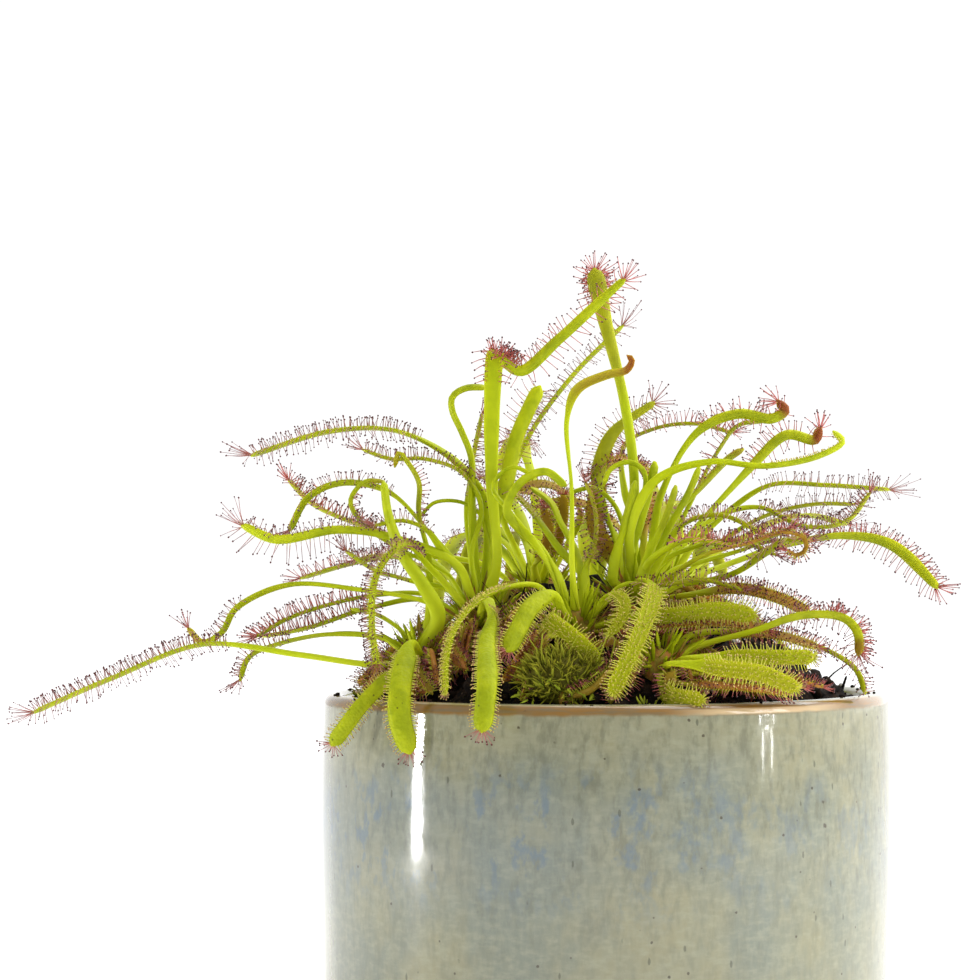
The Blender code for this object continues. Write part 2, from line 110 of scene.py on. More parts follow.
# One row a leaf: name, crown, width of the stalk and of the blade, share of the length
# where the blade begins, way that its upper face looks, habit, tone (0 lime, 1 olive, 2 dry
# brown) and the points that it passes after leaving the crown.
LEAVES = [
    ("leaf_low_left_1", "low_left", 2.0, 4.2, 0.45, UP, "spread", 0.15,
     [(-49, -25, 76), (-63, -27, 78), (-82, -28, 80), (-101, -28, 73), (-117, -28, 66)]),
    ("leaf_low_left_2", "low_left", 1.9, 3.4, 0.40, UP, "dark", 0.25,
     [(-46, -18, 81), (-55, -17, 82), (-67, -16, 80), (-74, -15, 77), (-76, -15, 72)]),
    ("leaf_low_left_3", "low_left", 2.4, 4.4, 0.35, FAR, "drooping", 0.05,
     [(-40, -31, 80), (-41, -40, 78), (-42, -46, 72), (-42, -48, 66), (-40, -48, 59)]),
    ("leaf_low_left_4", "low_left", 2.0, 3.1, 0.35, FAR, "drooping", 0.1,
     [(-42, -29, 75), (-45, -36, 73), (-50, -38, 68), (-53, -38, 64), (-56, -37, 60)]),
    ("leaf_low_left_5", "low_left", 3.6, 3.2, 0.55, FAR, "bare", 0.0,
     [(-35, -26, 86), (-38, -28, 92), (-42, -28, 98), (-45, -27, 106), (-46, -26, 113)]),
    ("leaf_left_1", "left", 1.6, 2.0, 0.55, UP, "dark", 0.2,
     [(-39, -17, 89), (-51, -15, 91), (-66, -13, 92), (-77, -13, 87), (-80, -13, 82),
      (-84, -13, 80), (-87, -13, 83)]),
    ("leaf_left_2", "left", 1.8, 3.2, 0.45, UP, "misty", 0.2,
     [(-39, -10, 89), (-50, -9, 87), (-62, -8, 83), (-72, -7, 81)]),
    ("leaf_left_3", "left", 2.2, 2.9, 0.45, FAR_UP, "spread", 0.05,
     [(-31, -22, 96), (-42, -22, 101), (-55, -24, 103), (-68, -25, 101), (-75, -25, 104)]),
    ("leaf_left_4", "left", 1.4, 2.1, 0.50, UP, "dark", 0.2,
     [(-31, -14, 96), (-37, -15, 103), (-45, -15, 111), (-55, -14, 113), (-62, -13, 110),
      (-66, -13, 103)]),
    ("leaf_left_5", "left", 1.8, 3.0, 0.50, UP, "misty", 0.4,
     [(-34, -10, 95), (-45, -6, 102), (-56, -4, 106), (-62, -3, 109), (-67, -3, 114)]),
    ("leaf_left_6", "left", 2.0, 1.6, 0.35, NEAR_LEFT, "dense", 0.0,
     [(-36, -23, 95), (-42, -33, 100), (-47, -35, 94), (-48, -35, 85), (-47, -34, 76)]),
    ("leaf_left_7", "left", 2.0, 3.6, 0.50, UP, "spread", 0.1,
     [(-25, -12, 98), (-25, -12, 108), (-32, -11, 118), (-44, -8, 124), (-58, -4, 124),
      (-75, 0, 119)]),
    ("leaf_left_8", "left", 2.2, 3.4, 0.55, RIGHT, "dark", 0.5,
     [(-28, -9, 98), (-29, -5, 108), (-28, -3, 118), (-26, -2, 128)]),
    ("leaf_left_9", "left", 2.0, 2.4, 0.62, FAR_UP, "misty", 0.1,
     [(-23, -21, 97), (-24, -22, 112), (-24, -23, 128), (-23.5, -23, 137.5), (-23, -21.5, 139.5),
      (-21.5, -20, 137.5), (-18, -20, 135.5), (-10, -23, 142), (3, -27, 154)]),
    ("leaf_left_10", "left", 2.2, 3.9, 0.50, FAR, "drooping", 0.05,
     [(-25, -26, 89), (-24, -37, 86), (-25, -49, 81), (-25, -60, 73), (-26, -63, 64)]),
    ("leaf_front_1", "front", 1.2, 1.8, 0.70, NEAR, "bare", 0.8,
     [(-8, -34, 97), (-8, -35, 112), (-9, -35, 125), (-7, -35, 131), (-1, -35, 134),
      (3, -35, 135), (4, -35, 137), (3, -35, 138)]),
    ("leaf_front_2", "front", 1.8, 2.0, 0.35, UP, "bristly", 0.1,
     [(-15, -35, 92), (-25, -42, 90), (-31, -45, 84), (-33, -47, 77), (-33, -48, 71)]),
    ("leaf_front_3", "front", 2.0, 3.6, 0.35, FAR, "drooping", 0.1,
     [(-12, -40, 90), (-16, -44, 88), (-19, -47, 83), (-21, -49, 79)]),
    ("leaf_front_4", "front", 2.0, 3.4, 0.35, NEAR, "bristly", 0.1,
     [(4, -37, 86), (12, -41, 86), (20, -43, 87), (28, -44, 86)]),
    ("leaf_front_5", "front", 2.4, 1.8, 0.45, UP, "bare", 0.0,
     [(-11, -28, 95), (-15, -25, 100), (-21, -27, 107), (-18, -28, 113), (-13, -29, 115),
      (-9, -30, 112)]),
    ("leaf_middle_1", "middle", 2.0, 4.2, 0.60, FAR, "misty", 0.6,
     [(5, -21, 102), (5, -22, 115), (3, -21, 130), (-1, -20, 147), (-3, -19, 157)]),
    ("leaf_middle_2", "middle", 2.0, 1.9, 0.60, UP, "beaded", 0.0,
     [(4, -28, 103), (9, -29, 113), (20, -29, 117), (31, -29, 116), (42, -28, 118),
      (47, -28, 121), (45, -28, 123)]),
    ("leaf_middle_3", "middle", 2.0, 2.4, 0.60, FAR_UP, "misty", 0.2,
     [(9, -16, 101), (11, -15, 111), (18, -14, 123), (27, -14, 127), (34, -14, 126),
      (37, -14, 128), (35, -14, 130)]),
    ("leaf_middle_4", "middle", 1.8, 2.4, 0.60, FAR_UP, "misty", 0.2,
     [(14, -15, 99), (22, -10, 108), (31, -6, 117), (38, -5, 123), (44, -5, 122),
      (45, -5, 125)]),
    ("leaf_middle_5", "middle", 2.0, 3.0, 0.45, UP, "dark", 0.4,
     [(11, -27, 99), (14, -30, 104), (22, -32, 106), (31, -32, 102)]),
    ("leaf_middle_6", "middle", 2.0, 3.2, 0.40, UP, "misty", 0.5,
     [(8, -31, 97), (15, -38, 101), (25, -41, 100), (35, -41, 103)]),
    ("leaf_middle_7", "middle", 2.0, 3.2, 0.40, NEAR_UP, "rusty", 1.4,
     [(15, -28, 90), (26, -31, 91), (34, -32, 89), (40, -32, 86)]),
    ("leaf_middle_8", "middle", 2.0, 3.2, 0.35, NEAR, "bristly", 0.1,
     [(6, -32, 93), (8, -42, 91), (5, -50, 83), (2, -54, 77), (-1, -56, 71)]),
    ("leaf_middle_9", "middle", 2.0, 3.5, 0.55, FAR_UP, "misty", 0.2,
     [(16, -15, 93), (27, -9, 97), (36, -6, 100), (50, -4, 102), (60, -3, 100),
      (70, -2, 91)]),
    ("leaf_middle_10", "middle", 1.8, 2.8, 0.50, UP, "dark", 0.4,
     [(14, -21, 99), (22, -18, 106), (31, -17, 108), (40, -17, 104), (49, -17, 105),
      (54, -17, 111)]),
    ("leaf_middle_11", "middle", 1.8, 3.0, 0.45, FAR, "dark", 0.6,
     [(2, -14, 101), (-2, -12, 112), (1, -10, 123), (10, -9, 130)]),
    ("leaf_low_right_1", "low_right", 1.8, 2.4, 0.45, FAR_UP, "dark", 0.3,
     [(16, -43, 80), (27, -45, 83), (38, -44, 86), (45.5, -43, 85.3), (48, -43, 82.6),
      (48.3, -43, 78)]),
    ("leaf_low_right_2", "low_right", 1.6, 3.0, 0.40, NEAR, "bristly", 0.1,
     [(14, -49, 78), (22, -51, 78), (31, -51, 78), (39, -50, 78)]),
    ("leaf_low_right_3", "low_right", 1.8, 3.2, 0.40, NEAR, "bristly", 0.2,
     [(11, -52, 77), (21, -58, 76), (28, -58, 75), (35, -57, 72)]),
    ("leaf_low_right_4", "low_right", 2.0, 2.6, 0.45, UP, "strap", 0.5,
     [(15, -39, 82), (23, -37, 83), (33, -35, 82), (43, -33, 79), (49, -32, 75),
      (51, -32, 70)]),
    ("leaf_back_left_1", "back_left", 2.0, 3.6, 0.50, UP, "spread", 0.1,
     [(-19, 12, 100), (-22, 7, 109), (-17, 4, 122), (-7, 3, 136), (4, 3, 147)]),
    ("leaf_back_left_2", "back_left", 2.2, 4.0, 0.45, UP, "spread", 0.2,
     [(-20, 23, 97), (-26, 36, 103), (-32, 49, 101), (-36, 60, 92), (-38, 66, 80)]),
    ("leaf_back_left_3", "back_left", 2.2, 4.2, 0.45, UP, "spread", 0.2,
     [(-15, 25, 97), (-18, 38, 108), (-22, 52, 111), (-26, 65, 104), (-28, 72, 93)]),
    ("leaf_back_left_4", "back_left", 2.0, 3.8, 0.55, UP, "spread", 0.3,
     [(-14, 18, 102), (-15, 25, 114), (-17, 35, 122), (-19, 47, 124), (-22, 57, 118)]),
    ("leaf_back_left_5", "back_left", 2.0, 3.6, 0.45, UP, "misty", 0.3,
     [(-25, 14, 96), (-37, 16, 98), (-51, 18, 97), (-66, 20, 93)]),
    ("leaf_back_right_1", "back_right", 2.0, 3.4, 0.50, UP, "spread", 0.3,
     [(19, 11, 100), (27, 8, 108), (35, 6, 113), (47, 5, 113), (61, 5, 112)]),
    ("leaf_back_right_2", "back_right", 2.0, 4.0, 0.45, UP, "spread", 0.2,
     [(18, 26, 97), (22, 39, 103), (24, 52, 101), (24, 62, 93), (23, 68, 82)]),
    ("leaf_back_right_3", "back_right", 2.0, 4.0, 0.45, UP, "spread", 0.2,
     [(13, 27, 97), (15, 41, 107), (17, 56, 110), (19, 68, 103), (20, 75, 92)]),
    ("leaf_back_right_4", "back_right", 2.0, 3.8, 0.55, UP, "rusty", 1.5,
     [(11, 18, 102), (12, 26, 112), (9, 36, 118), (4, 46, 119), (1, 54, 116)]),
    ("leaf_back_right_5", "back_right", 2.0, 3.8, 0.45, UP, "spread", 0.3,
     [(22, 20, 97), (33, 27, 103), (45, 35, 107), (56, 43, 105)]),
    ("leaf_back_1", "back", 2.4, 4.4, 0.40, UP, "spread", 0.2,
     [(-7, 46, 88), (-12, 56, 87), (-18, 65, 79), (-20, 69, 69), (-21, 70, 59)]),
    ("leaf_back_2", "back", 2.0, 3.6, 0.45, UP, "spread", 0.3,
     [(-12, 40, 88), (-25, 45, 89), (-39, 49, 83), (-47, 51, 75), (-51, 52, 66)]),
    ("leaf_back_3", "back", 2.0, 3.6, 0.45, UP, "spread", 0.3,
     [(7, 41, 88), (20, 45, 90), (34, 48, 85), (43, 50, 76), (47, 51, 67)]),
    ("leaf_back_4", "back", 2.0, 3.8, 0.50, UP, "spread", 0.2,
     [(-1, 42, 95), (-1, 49, 104), (-2, 60, 107), (-2, 70, 102), (-1, 76, 92)]),
]

# Young leaves, whose blade is still folded.
FOLDED = ("leaf_left_1", "leaf_left_4", "leaf_left_9", "leaf_front_1", "leaf_front_5",
          "leaf_middle_2", "leaf_middle_3", "leaf_middle_4")

# How red the coiled tip of a leaf is.
COILED = {"leaf_left_1": 0.5, "leaf_front_1": 0.9, "leaf_middle_3": 1.0, "leaf_middle_4": 1.0,
          "leaf_low_right_1": 0.7}

# Denser tentacles on a bend or a head: share of the length, number, length, spread along.
TUFTS = {"leaf_left_9": (0.61, 90, 2.6, 3.4), "leaf_middle_1": (0.965, 150, 3.0, 3.2),
         "leaf_low_right_1": (0.86, 90, 2.4, 7.0)}

# Leaves whose width isn't that of a plain stalk and blade: (share of the length, width).
WIDTHS = {
    "leaf_low_left_5": ((0, 3.9), (0.2, 3.4), (0.45, 2.7), (0.75, 2.1), (1, 1.5)),
    "leaf_left_3": ((0, 2.2), (0.4, 1.9), (0.7, 2.7), (0.92, 2.9), (1, 2.2)),
    "leaf_left_6": ((0, 2.0), (0.4, 1.6), (1, 1.6)),
    "leaf_left_9": ((0, 2.0), (0.2, 2.1), (0.33, 2.6), (0.45, 3.3), (0.53, 3.8), (0.575, 3.9),
                    (0.62, 2.7), (0.92, 2.2), (1, 1.4)),
    "leaf_left_10": ((0, 2.2), (0.3, 2.6), (0.5, 3.2), (0.75, 3.9), (0.95, 3.8), (1, 3.4)),
    "leaf_front_1": ((0, 1.4), (0.3, 1.1), (0.66, 1.1), (0.74, 2.0), (0.88, 1.8), (1, 1.2)),
    "leaf_front_5": ((0, 2.4), (0.5, 2.0), (1, 1.5)),
    "leaf_middle_11": ((0, 2.0), (0.4, 2.4), (0.55, 3.2), (0.7, 3.0), (0.82, 1.9), (1, 1.4)),
    "leaf_middle_1": ((0, 2.0), (0.62, 2.0), (0.8, 2.8), (0.93, 4.0), (1, 4.0)),
    "leaf_middle_9": ((0, 1.8), (0.5, 1.7), (0.66, 2.4), (0.78, 3.1), (0.9, 3.3), (1, 2.4)),
}

# A leaf whose stalk is a flat strap: the way that its upper side looks.
STRAPS = {"leaf_left_9": NEAR}

# Leaves whose tentacles begin elsewhere than the blade does: share of the length.
TENTACLES_FROM = {"leaf_low_left_2": 0.62, "leaf_left_1": 0.72, "leaf_left_9": 0.50,
                  "leaf_left_10": 0.30, "leaf_middle_1": 0.86, "leaf_middle_2": 0.70,
                  "leaf_middle_4": 0.62}

# Smaller leaves, too fine to be solids of their own, in the same columns less the name.
SMALL_LEAVES = [
    ("left", 1.6, 2.8, 0.45, UP, "misty", 0.3,
     [(-38, -11, 90), (-47, -12, 90), (-57, -13, 88), (-66, -13, 85), (-73, -13, 81)]),
    ("left", 1.8, 2.8, 0.50, UP, "dark", 0.5,
     [(-28, -15, 98), (-26, -15, 108), (-30, -14, 115), (-38, -13, 118), (-45, -13, 118),
      (-51, -13, 120)]),
    ("low_left", 1.5, 1.8, 0.55, UP, "young", 0.5,
     [(-37, -19, 88), (-37, -20, 98), (-39, -20, 107), (-39, -20, 113), (-42, -20, 118),
      (-43, -20, 119), (-44, -20, 116)]),
    ("left", 1.3, 1.6, 0.55, UP, "young", 0.2,
     [(-33, -17, 94), (-42, -19, 99), (-50, -20, 104), (-53, -20, 109), (-50, -20, 113),
      (-46, -20, 113)]),
    ("left", 2.3, 2.3, 0.60, UP, "bare", 0.1,
     [(-27.5, -13, 96), (-28, -14, 108), (-28, -14, 118), (-30, -14, 123.5), (-32, -14, 128),
      (-32, -14, 130.6), (-29.5, -14, 132.3), (-25, -14, 132.5)]),
    ("left", 1.7, 3.1, 0.40, FAR, "strap", 0.0,
     [(-24, -16, 97), (-23, -17, 105), (-21, -17, 113), (-19, -16, 122), (-16, -15, 129),
      (-14, -15, 133)]),
    ("middle", 1.7, 2.1, 0.60, UP, "bare", 0.0,
     [(4, -25, 97), (4.6, -26, 105), (7.2, -26, 111), (7, -26, 115), (4, -26, 117),
      (0, -26, 115.5), (-1.5, -26, 112)]),
    ("middle", 1.6, 1.9, 0.60, UP, "bare", 0.0,
     [(4, -18, 100), (3, -16, 105), (1, -16, 109), (-3, -16, 112), (-8, -16, 111)]),
    ("front", 1.5, 1.7, 0.60, UP, "bare", 0.0,
     [(-13, -28, 97), (-20, -26, 106), (-24, -25, 112), (-20, -25, 116), (-15, -25, 114)]),
    ("left", 1.3, 1.5, 0.60, UP, "bare", 0.0,
     [(-25, -13, 97), (-26, -12, 106), (-30, -12, 109), (-36, -12, 109), (-39, -12, 106)]),
    ("back_left", 1.8, 2.5, 0.40, NEAR_UP, "rusty", 1.25,
     [(-10, 17, 101), (-10, 16, 107), (-14, 12, 111), (-20, 8, 112), (-26, 4, 111)]),
    ("back_left", 1.8, 2.4, 0.40, NEAR_UP, "rusty", 1.2,
     [(-8, 14, 100), (-5, 9, 107), (-8, 4, 111), (-13, 0, 113), (-19, -2, 112)]),
    ("back_right", 1.8, 2.5, 0.40, NEAR_UP, "rusty", 1.25,
     [(6, 14, 101), (1, 8, 106), (-5, 4, 109), (-13, 2, 109)]),
    ("front", 2.0, 3.0, 0.35, RIGHT, "dark", 0.9,
     [(-5, -28, 95), (-3, -26, 101), (-3, -26, 107), (-5, -26, 113)]),
    ("back_right", 1.8, 2.8, 0.45, UP, "misty", 0.7,
     [(9, 20, 102), (5, 22, 112), (5, 23, 122), (12, 24, 126), (21, 25, 127), (29, 25, 125)]),
    ("back_right", 1.6, 2.6, 0.50, UP, "misty", 0.5,
     [(15, 15, 101), (20, 13, 112), (25, 12, 121), (29, 12, 126), (35, 12, 127)]),
    ("back_right", 1.8, 2.8, 0.45, UP, "dark", 0.6,
     [(20, 14, 96), (28, 12, 103), (36, 10, 107), (45, 9, 109), (54, 9, 109)]),
    ("middle", 1.9, 3.2, 0.55, UP, "spread", 0.4,
     [(14, -22, 92), (24, -25, 94), (31, -28, 98), (35, -32, 101), (37, -38, 101)]),
    ("middle", 1.6, 2.6, 0.55, UP, "dark", 0.5,
     [(13, -18, 95), (20, -16, 97), (27, -15, 99), (34, -15, 101), (42, -16, 101)]),
    ("low_right", 1.8, 3.6, 0.35, NEAR, "bristly", 0.2,
     [(9, -48, 74), (10, -52, 71), (13, -55, 70), (17, -56, 70)]),
    ("front", 1.6, 2.4, 0.35, NEAR, "bristly", 0.15,
     [(-1, -37, 90), (2, -42, 89), (2, -45, 86), (-1, -47, 82)]),
    ("front", 1.8, 3.5, 0.30, NEAR, "bristly", 0.1,
     [(-12, -38, 86), (-13, -42, 85), (-9, -46, 82.5), (-3, -48.5, 77)]),
    ("front", 1.6, 2.6, 0.35, UP, "dark", 0.7,
     [(2, -33, 92), (10, -38, 92), (18, -39, 93), (26, -38, 91)]),
    ("middle", 1.6, 2.6, 0.45, UP, "dark", 0.7,
     [(11, -24, 97), (18, -25, 100), (26, -24, 101), (34, -22, 98)]),
    ("middle", 2.2, 2.8, 0.60, UP, "bare", 0.0,
     [(9, -24, 98), (12, -25, 104), (16, -25, 111), (18, -26, 116)]),
    ("middle", 2.8, 2.2, 0.60, UP, "bare", 0.05,
     [(4, -24, 99), (6, -24, 105), (8, -24, 112), (9, -25, 117)]),
    ("middle", 2.4, 2.2, 0.60, UP, "bare", 0.0,
     [(0.5, -27, 93), (1.5, -28, 100), (3.5, -28, 107), (5, -27, 113)]),
    ("middle", 2.2, 2.0, 0.60, UP, "bare", 0.3,
     [(6, -28, 93), (8, -29, 99), (11, -30, 106), (13, -30, 112)]),
    ("middle", 1.7, 2.2, 0.60, UP, "young", 0.4,
     [(9, -19, 99), (14, -18, 107), (19, -16, 112), (25, -15, 118), (28, -15, 120)]),
    ("front", 1.8, 2.4, 0.60, UP, "dark", 0.5,
     [(-5, -26, 93), (-10, -22, 99), (-15, -18, 106), (-21, -15, 112), (-26, -13, 114)]),
    ("front", 1.6, 1.8, 0.70, UP, "bare", 0.1,
     [(-6, -27, 94), (-7, -23, 99), (-10, -20, 105), (-12, -18, 109), (-16, -16, 112)]),
    ("left", 2.2, 2.6, 0.60, UP, "dark", 0.3,
     [(-30, -19, 94), (-34, -22, 99), (-37, -24, 103), (-42, -25, 105), (-48, -25, 104)]),
    ("left", 1.7, 2.6, 0.50, UP, "dark", 0.4,
     [(-33, -19, 91), (-41, -21, 93), (-48, -22, 95), (-54, -22, 99)]),
    ("left", 1.8, 2.8, 0.45, UP, "dark", 0.7,
     [(-32, -9, 91), (-38, -4, 95), (-46, 0, 98), (-53, 3, 97)]),
    ("low_left", 1.4, 1.8, 0.45, UP, "bare", 0.1,
     [(-43, -18, 83), (-48, -17, 86), (-53, -17, 87)]),
    ("front", 1.6, 2.6, 0.30, NEAR_UP, "rusty", 1.7,
     [(4, -37, 83), (13, -41, 84.5), (22, -42, 84.5), (31, -42, 83)]),
    ("low_right", 1.5, 2.2, 0.30, UP, "rusty", 1.7,
     [(14, -46, 76), (22, -48, 75.5), (32, -48, 74.5), (41, -46, 72)]),
    ("low_right", 1.4, 2.0, 0.30, NEAR_UP, "rusty", 1.8,
     [(13, -50, 73), (20, -52, 72.5), (27, -53, 72), (33, -51, 71)]),
    ("low_right", 1.4, 1.8, 0.30, UP, "rusty", 1.8,
     [(14, -48, 75), (23, -50, 74), (32, -50, 73.5), (37, -48, 72)]),
    ("middle", 1.5, 2.0, 0.45, UP, "rusty", 1.5,
     [(18, -38, 98), (27, -42, 100.5), (33.5, -43, 102.5), (37.5, -43, 101.5), (38, -43, 99),
      (36, -43, 97.8), (34.2, -43, 99)]),
    ("low_right", 1.6, 2.4, 0.35, NEAR_UP, "rusty", 1.4,
     [(15, -41, 79), (24, -40, 82), (32, -39, 82), (41, -38, 79.5)]),
    ("back_left", 1.6, 2.4, 0.35, NEAR, "rusty", 1.2,
     [(-12, 8, 97), (-10, 3, 101), (-9, 0, 106), (-9, -2, 111)]),
    ("back_left", 1.6, 2.3, 0.35, NEAR, "rusty", 1.35,
     [(-15, 7, 96), (-13, 3, 99), (-12, 0, 103), (-13, -2, 108)]),
    ("middle", 1.6, 2.2, 0.30, UP, "rusty", 1.8,
     [(8, -13, 104), (9, -10, 111), (6, -10, 117), (1, -10, 118), (-3, -10, 115)]),
    ("middle", 2.0, 3.5, 0.25, NEAR, "rusty", 1.3,
     [(0, -13, 99), (-2.5, -13, 104), (-2.5, -12, 109), (-1, -11, 113)]),
]

# More small leaves, which fill the clump seen from the sides and from behind: crown, number,
# first and last bearing in degrees, reach and rise.
FILLERS = (
    ("back_left", 4, 75, 125, 28, 12),
    ("back_right", 4, 60, 110, 28, 12),
    ("back", 6, 35, 145, 26, 10),
)

POT_RADIUS = 60.0
POT_BELLY_HEIGHT = 40.0
POT_NARROWING = 0.8
POT_HEIGHT = 68.0
POT_WALL = 4.6
POT_FLOOR = 6.0
POT_SIDES = 200
PEAT_EDGE = 66.0
PEAT_RISE = 27.0
PEAT_POWER = 1.5
PEAT_SIDES = 190
CROWN_GAP = 0.3

# A stalk's depth as a share of its width, a folded blade's as a share of its own, the depth
# of a flat blade, and how much of the lower side's bulge the upper side has.
STALK_DEPTH, FOLDED_DEPTH, FLAT_DEPTH, UPPER_BULGE = 0.85, 0.7, 1.05, 0.45

# Number of tentacles that spread from a blade's tip.
TIP_TENTACLES = 12

# A tentacle's rings: place along its curve, how far beyond its end, radius, and the number
# that tells the material where it is (0 root, 1 neck, 2 gland).
TENTACLE_RINGS = ((0, 0, 0.09, 0), (0.5, 0, 0.065, 0.5), (1, 0, 0.048, 1),
                  (1, 0.11, 0.175, 2), (1, 0.29, 0.155, 2))

# What lies on the peat: numbers of crumbs, crumbs spilt on the lip, fibres and perlite
# grains, and the place of the one twig.
CRUMBS, SPILT_CRUMBS, FIBRES, PERLITE_GRAINS = 1300, 34, 260, 46
TWIG = (47.6, -12.0, 67.0)

# Seedlings on the peat: place from above, number and length of the leaflets.
SEEDLINGS = ((-40, -30, 16, 2.2), (-50, -14, 22, 2.4), (6, -52, 16, 2.0), (-24, -49, 16, 1.8),
             (12, -53, 16, 1.8), (30, 36, 26, 2.2), (-33, 34, 26, 2.2))

# Scales round each crown.
CROWN_SCALES = 80

# Colours of the dust on the peat, and of perlite and its pores.
PEAT_DUST, PERLITE, PERLITE_PORE = (0.16, 0.12, 0.09), (0.75, 0.72, 0.66), (0.32, 0.28, 0.24)

# Lamps: name, place, the point that it faces, width, height and watts.
LAMPS = [
    ("overhead", (250, 150, 700), (0, 0, 90), 600, 600, 3),
    ("front_right", (560, -300, 330), (0, 0, 90), 300, 300, 1.6),
    ("left_strip", (-436, -99, 44), (-40, -45, 50), 26, 84, 0.7),
]

# Slits of light that show as a small window on the pot's right: place, width and height.
SLITS = [(403, -199, 76, 4, 13), (382, -247, 76, 4, 13), (392, -223, 83, 22, 3),
         (399, -207, 57, 4, 18), (386, -239, 57, 4, 18), (392, -223, 67, 14, 3)]
SLITS_FACE = (32, -51, 58)
SLIT_WATTS_PER_AREA = 0.00011

# Half a side of the floor.
FLOOR_HALF = 4000.0

# The camera's place and the point that it faces.
CAMERA_AT, CAMERA_AIM = (-24.4, -650, 96.0), (-24.4, 0, 111.8)


def unit(vectors):
    """Each vector divided by its own length."""
    return vectors / np.maximum(np.linalg.norm(vectors, axis=-1, keepdims=True), 1e-12)


def smoothstep(low, high, value):
    """0 below low, 1 above high and 3t^2 - 2t^3 between, t the share of the way."""
    share = np.clip((value - low) / (high - low), 0, 1)
    return share * share * (3 - 2 * share)


def lattice_noise(points, seed=0.0):
    """Value noise from -1 to 1: a sine hash at the eight whole-numbered corners round a
    point, blended by smoothsteps of the point's place between them."""
    points = np.asarray(points, float)
    cell = np.floor(points)
    share = points - cell
    share = share * share * (3 - 2 * share)
    total = np.zeros(points.shape[:-1])
    for corner in np.ndindex(2, 2, 2):
        hashed = np.sin((cell + corner) @ (12.9898, 78.233, 37.719) + 19.19 * seed) * 4375.85
        weight = np.prod(np.where(np.array(corner) == 1, share, 1 - share), axis=-1)
        total += weight * (hashed - np.floor(hashed))
    return 2 * total - 1


def layered_noise(points, layers, seed):
    """Sum of value noises, each of double frequency and half strength."""
    points = np.asarray(points, float)
    return sum(lattice_noise(points * 2**i, seed + i) / 2**i for i in range(layers))


def grid_quads(rows, columns, copies):
    """Quads of grids of rows by columns whose last column joins the first."""
    row = np.arange(rows - 1)[:, None] * columns
    column = np.arange(columns)[None, :]
    beside = (column + 1) % columns
    above = row + columns
    quads = np.stack([row + column, row + beside, above + beside, above + column], -1)
    shift = np.arange(copies)[:, None, None, None] * rows * columns
    return (quads[None] + shift).reshape(-1, 4)


def pole_triangles(rows, columns, copies, first_pole):
    """Triangles that close both ends of each grid on its two poles."""
    column = np.arange(columns)
    beside = (column + 1) % columns
    base = np.arange(copies)[:, None] * rows * columns
    start = np.broadcast_to(first_pole + 2 * np.arange(copies)[:, None], (copies, columns))
    last = base + (rows - 1) * columns
    lower = np.stack([start, base + beside, base + column], -1)
    upper = np.stack([start + 1, last + column, last + beside], -1)
    return np.concatenate([lower, upper]).reshape(-1, 3)


def round_grid(tilt, turn):
    """Unit vectors by tilt and turn: (cos tilt cos turn, cos tilt sin turn, sin tilt)."""
    level = np.cos(tilt)[:, None]
    return np.stack([level * np.cos(turn), level * np.sin(turn),
                     np.sin(tilt)[:, None] * np.ones(len(turn))], -1)


def scattered(rng, count, lowest, highest):
    """Unit vectors at random bearings, their heights even between the lowest and highest."""
    turn = rng.uniform(0, math.tau, count)
    rise = rng.uniform(lowest, highest, count)
    flat = np.sqrt(1 - rise**2)
    return np.stack([flat * np.cos(turn), flat * np.sin(turn), rise], -1)


def level_way(bearing):
    """The level unit vector at a bearing."""
    return np.array([math.cos(bearing), math.sin(bearing), 0])


def round_angles(corners, way=1):
    """Angles of a ring's corners, one step apart; a way of -1 goes round clockwise."""
    return way * np.arange(corners) / corners * math.tau


def rings_round(lines, direction, radius, corners):
    """Rings square to the direction at each point of the lines: point + radius (a cos angle +
    b sin angle), with a and b square to the direction and to each other."""
    handy = np.where(np.abs(direction[..., 2:3]) < 0.9, [[[0, 0, 1.0]]], [[[1.0, 0, 0]]])
    a = unit(np.cross(direction, handy))
    b = np.cross(direction, a)
    angle = round_angles(corners)
    return lines[:, :, None] + radius[..., None, None] * (
        a[:, :, None] * np.cos(angle)[:, None] + b[:, :, None] * np.sin(angle)[:, None])


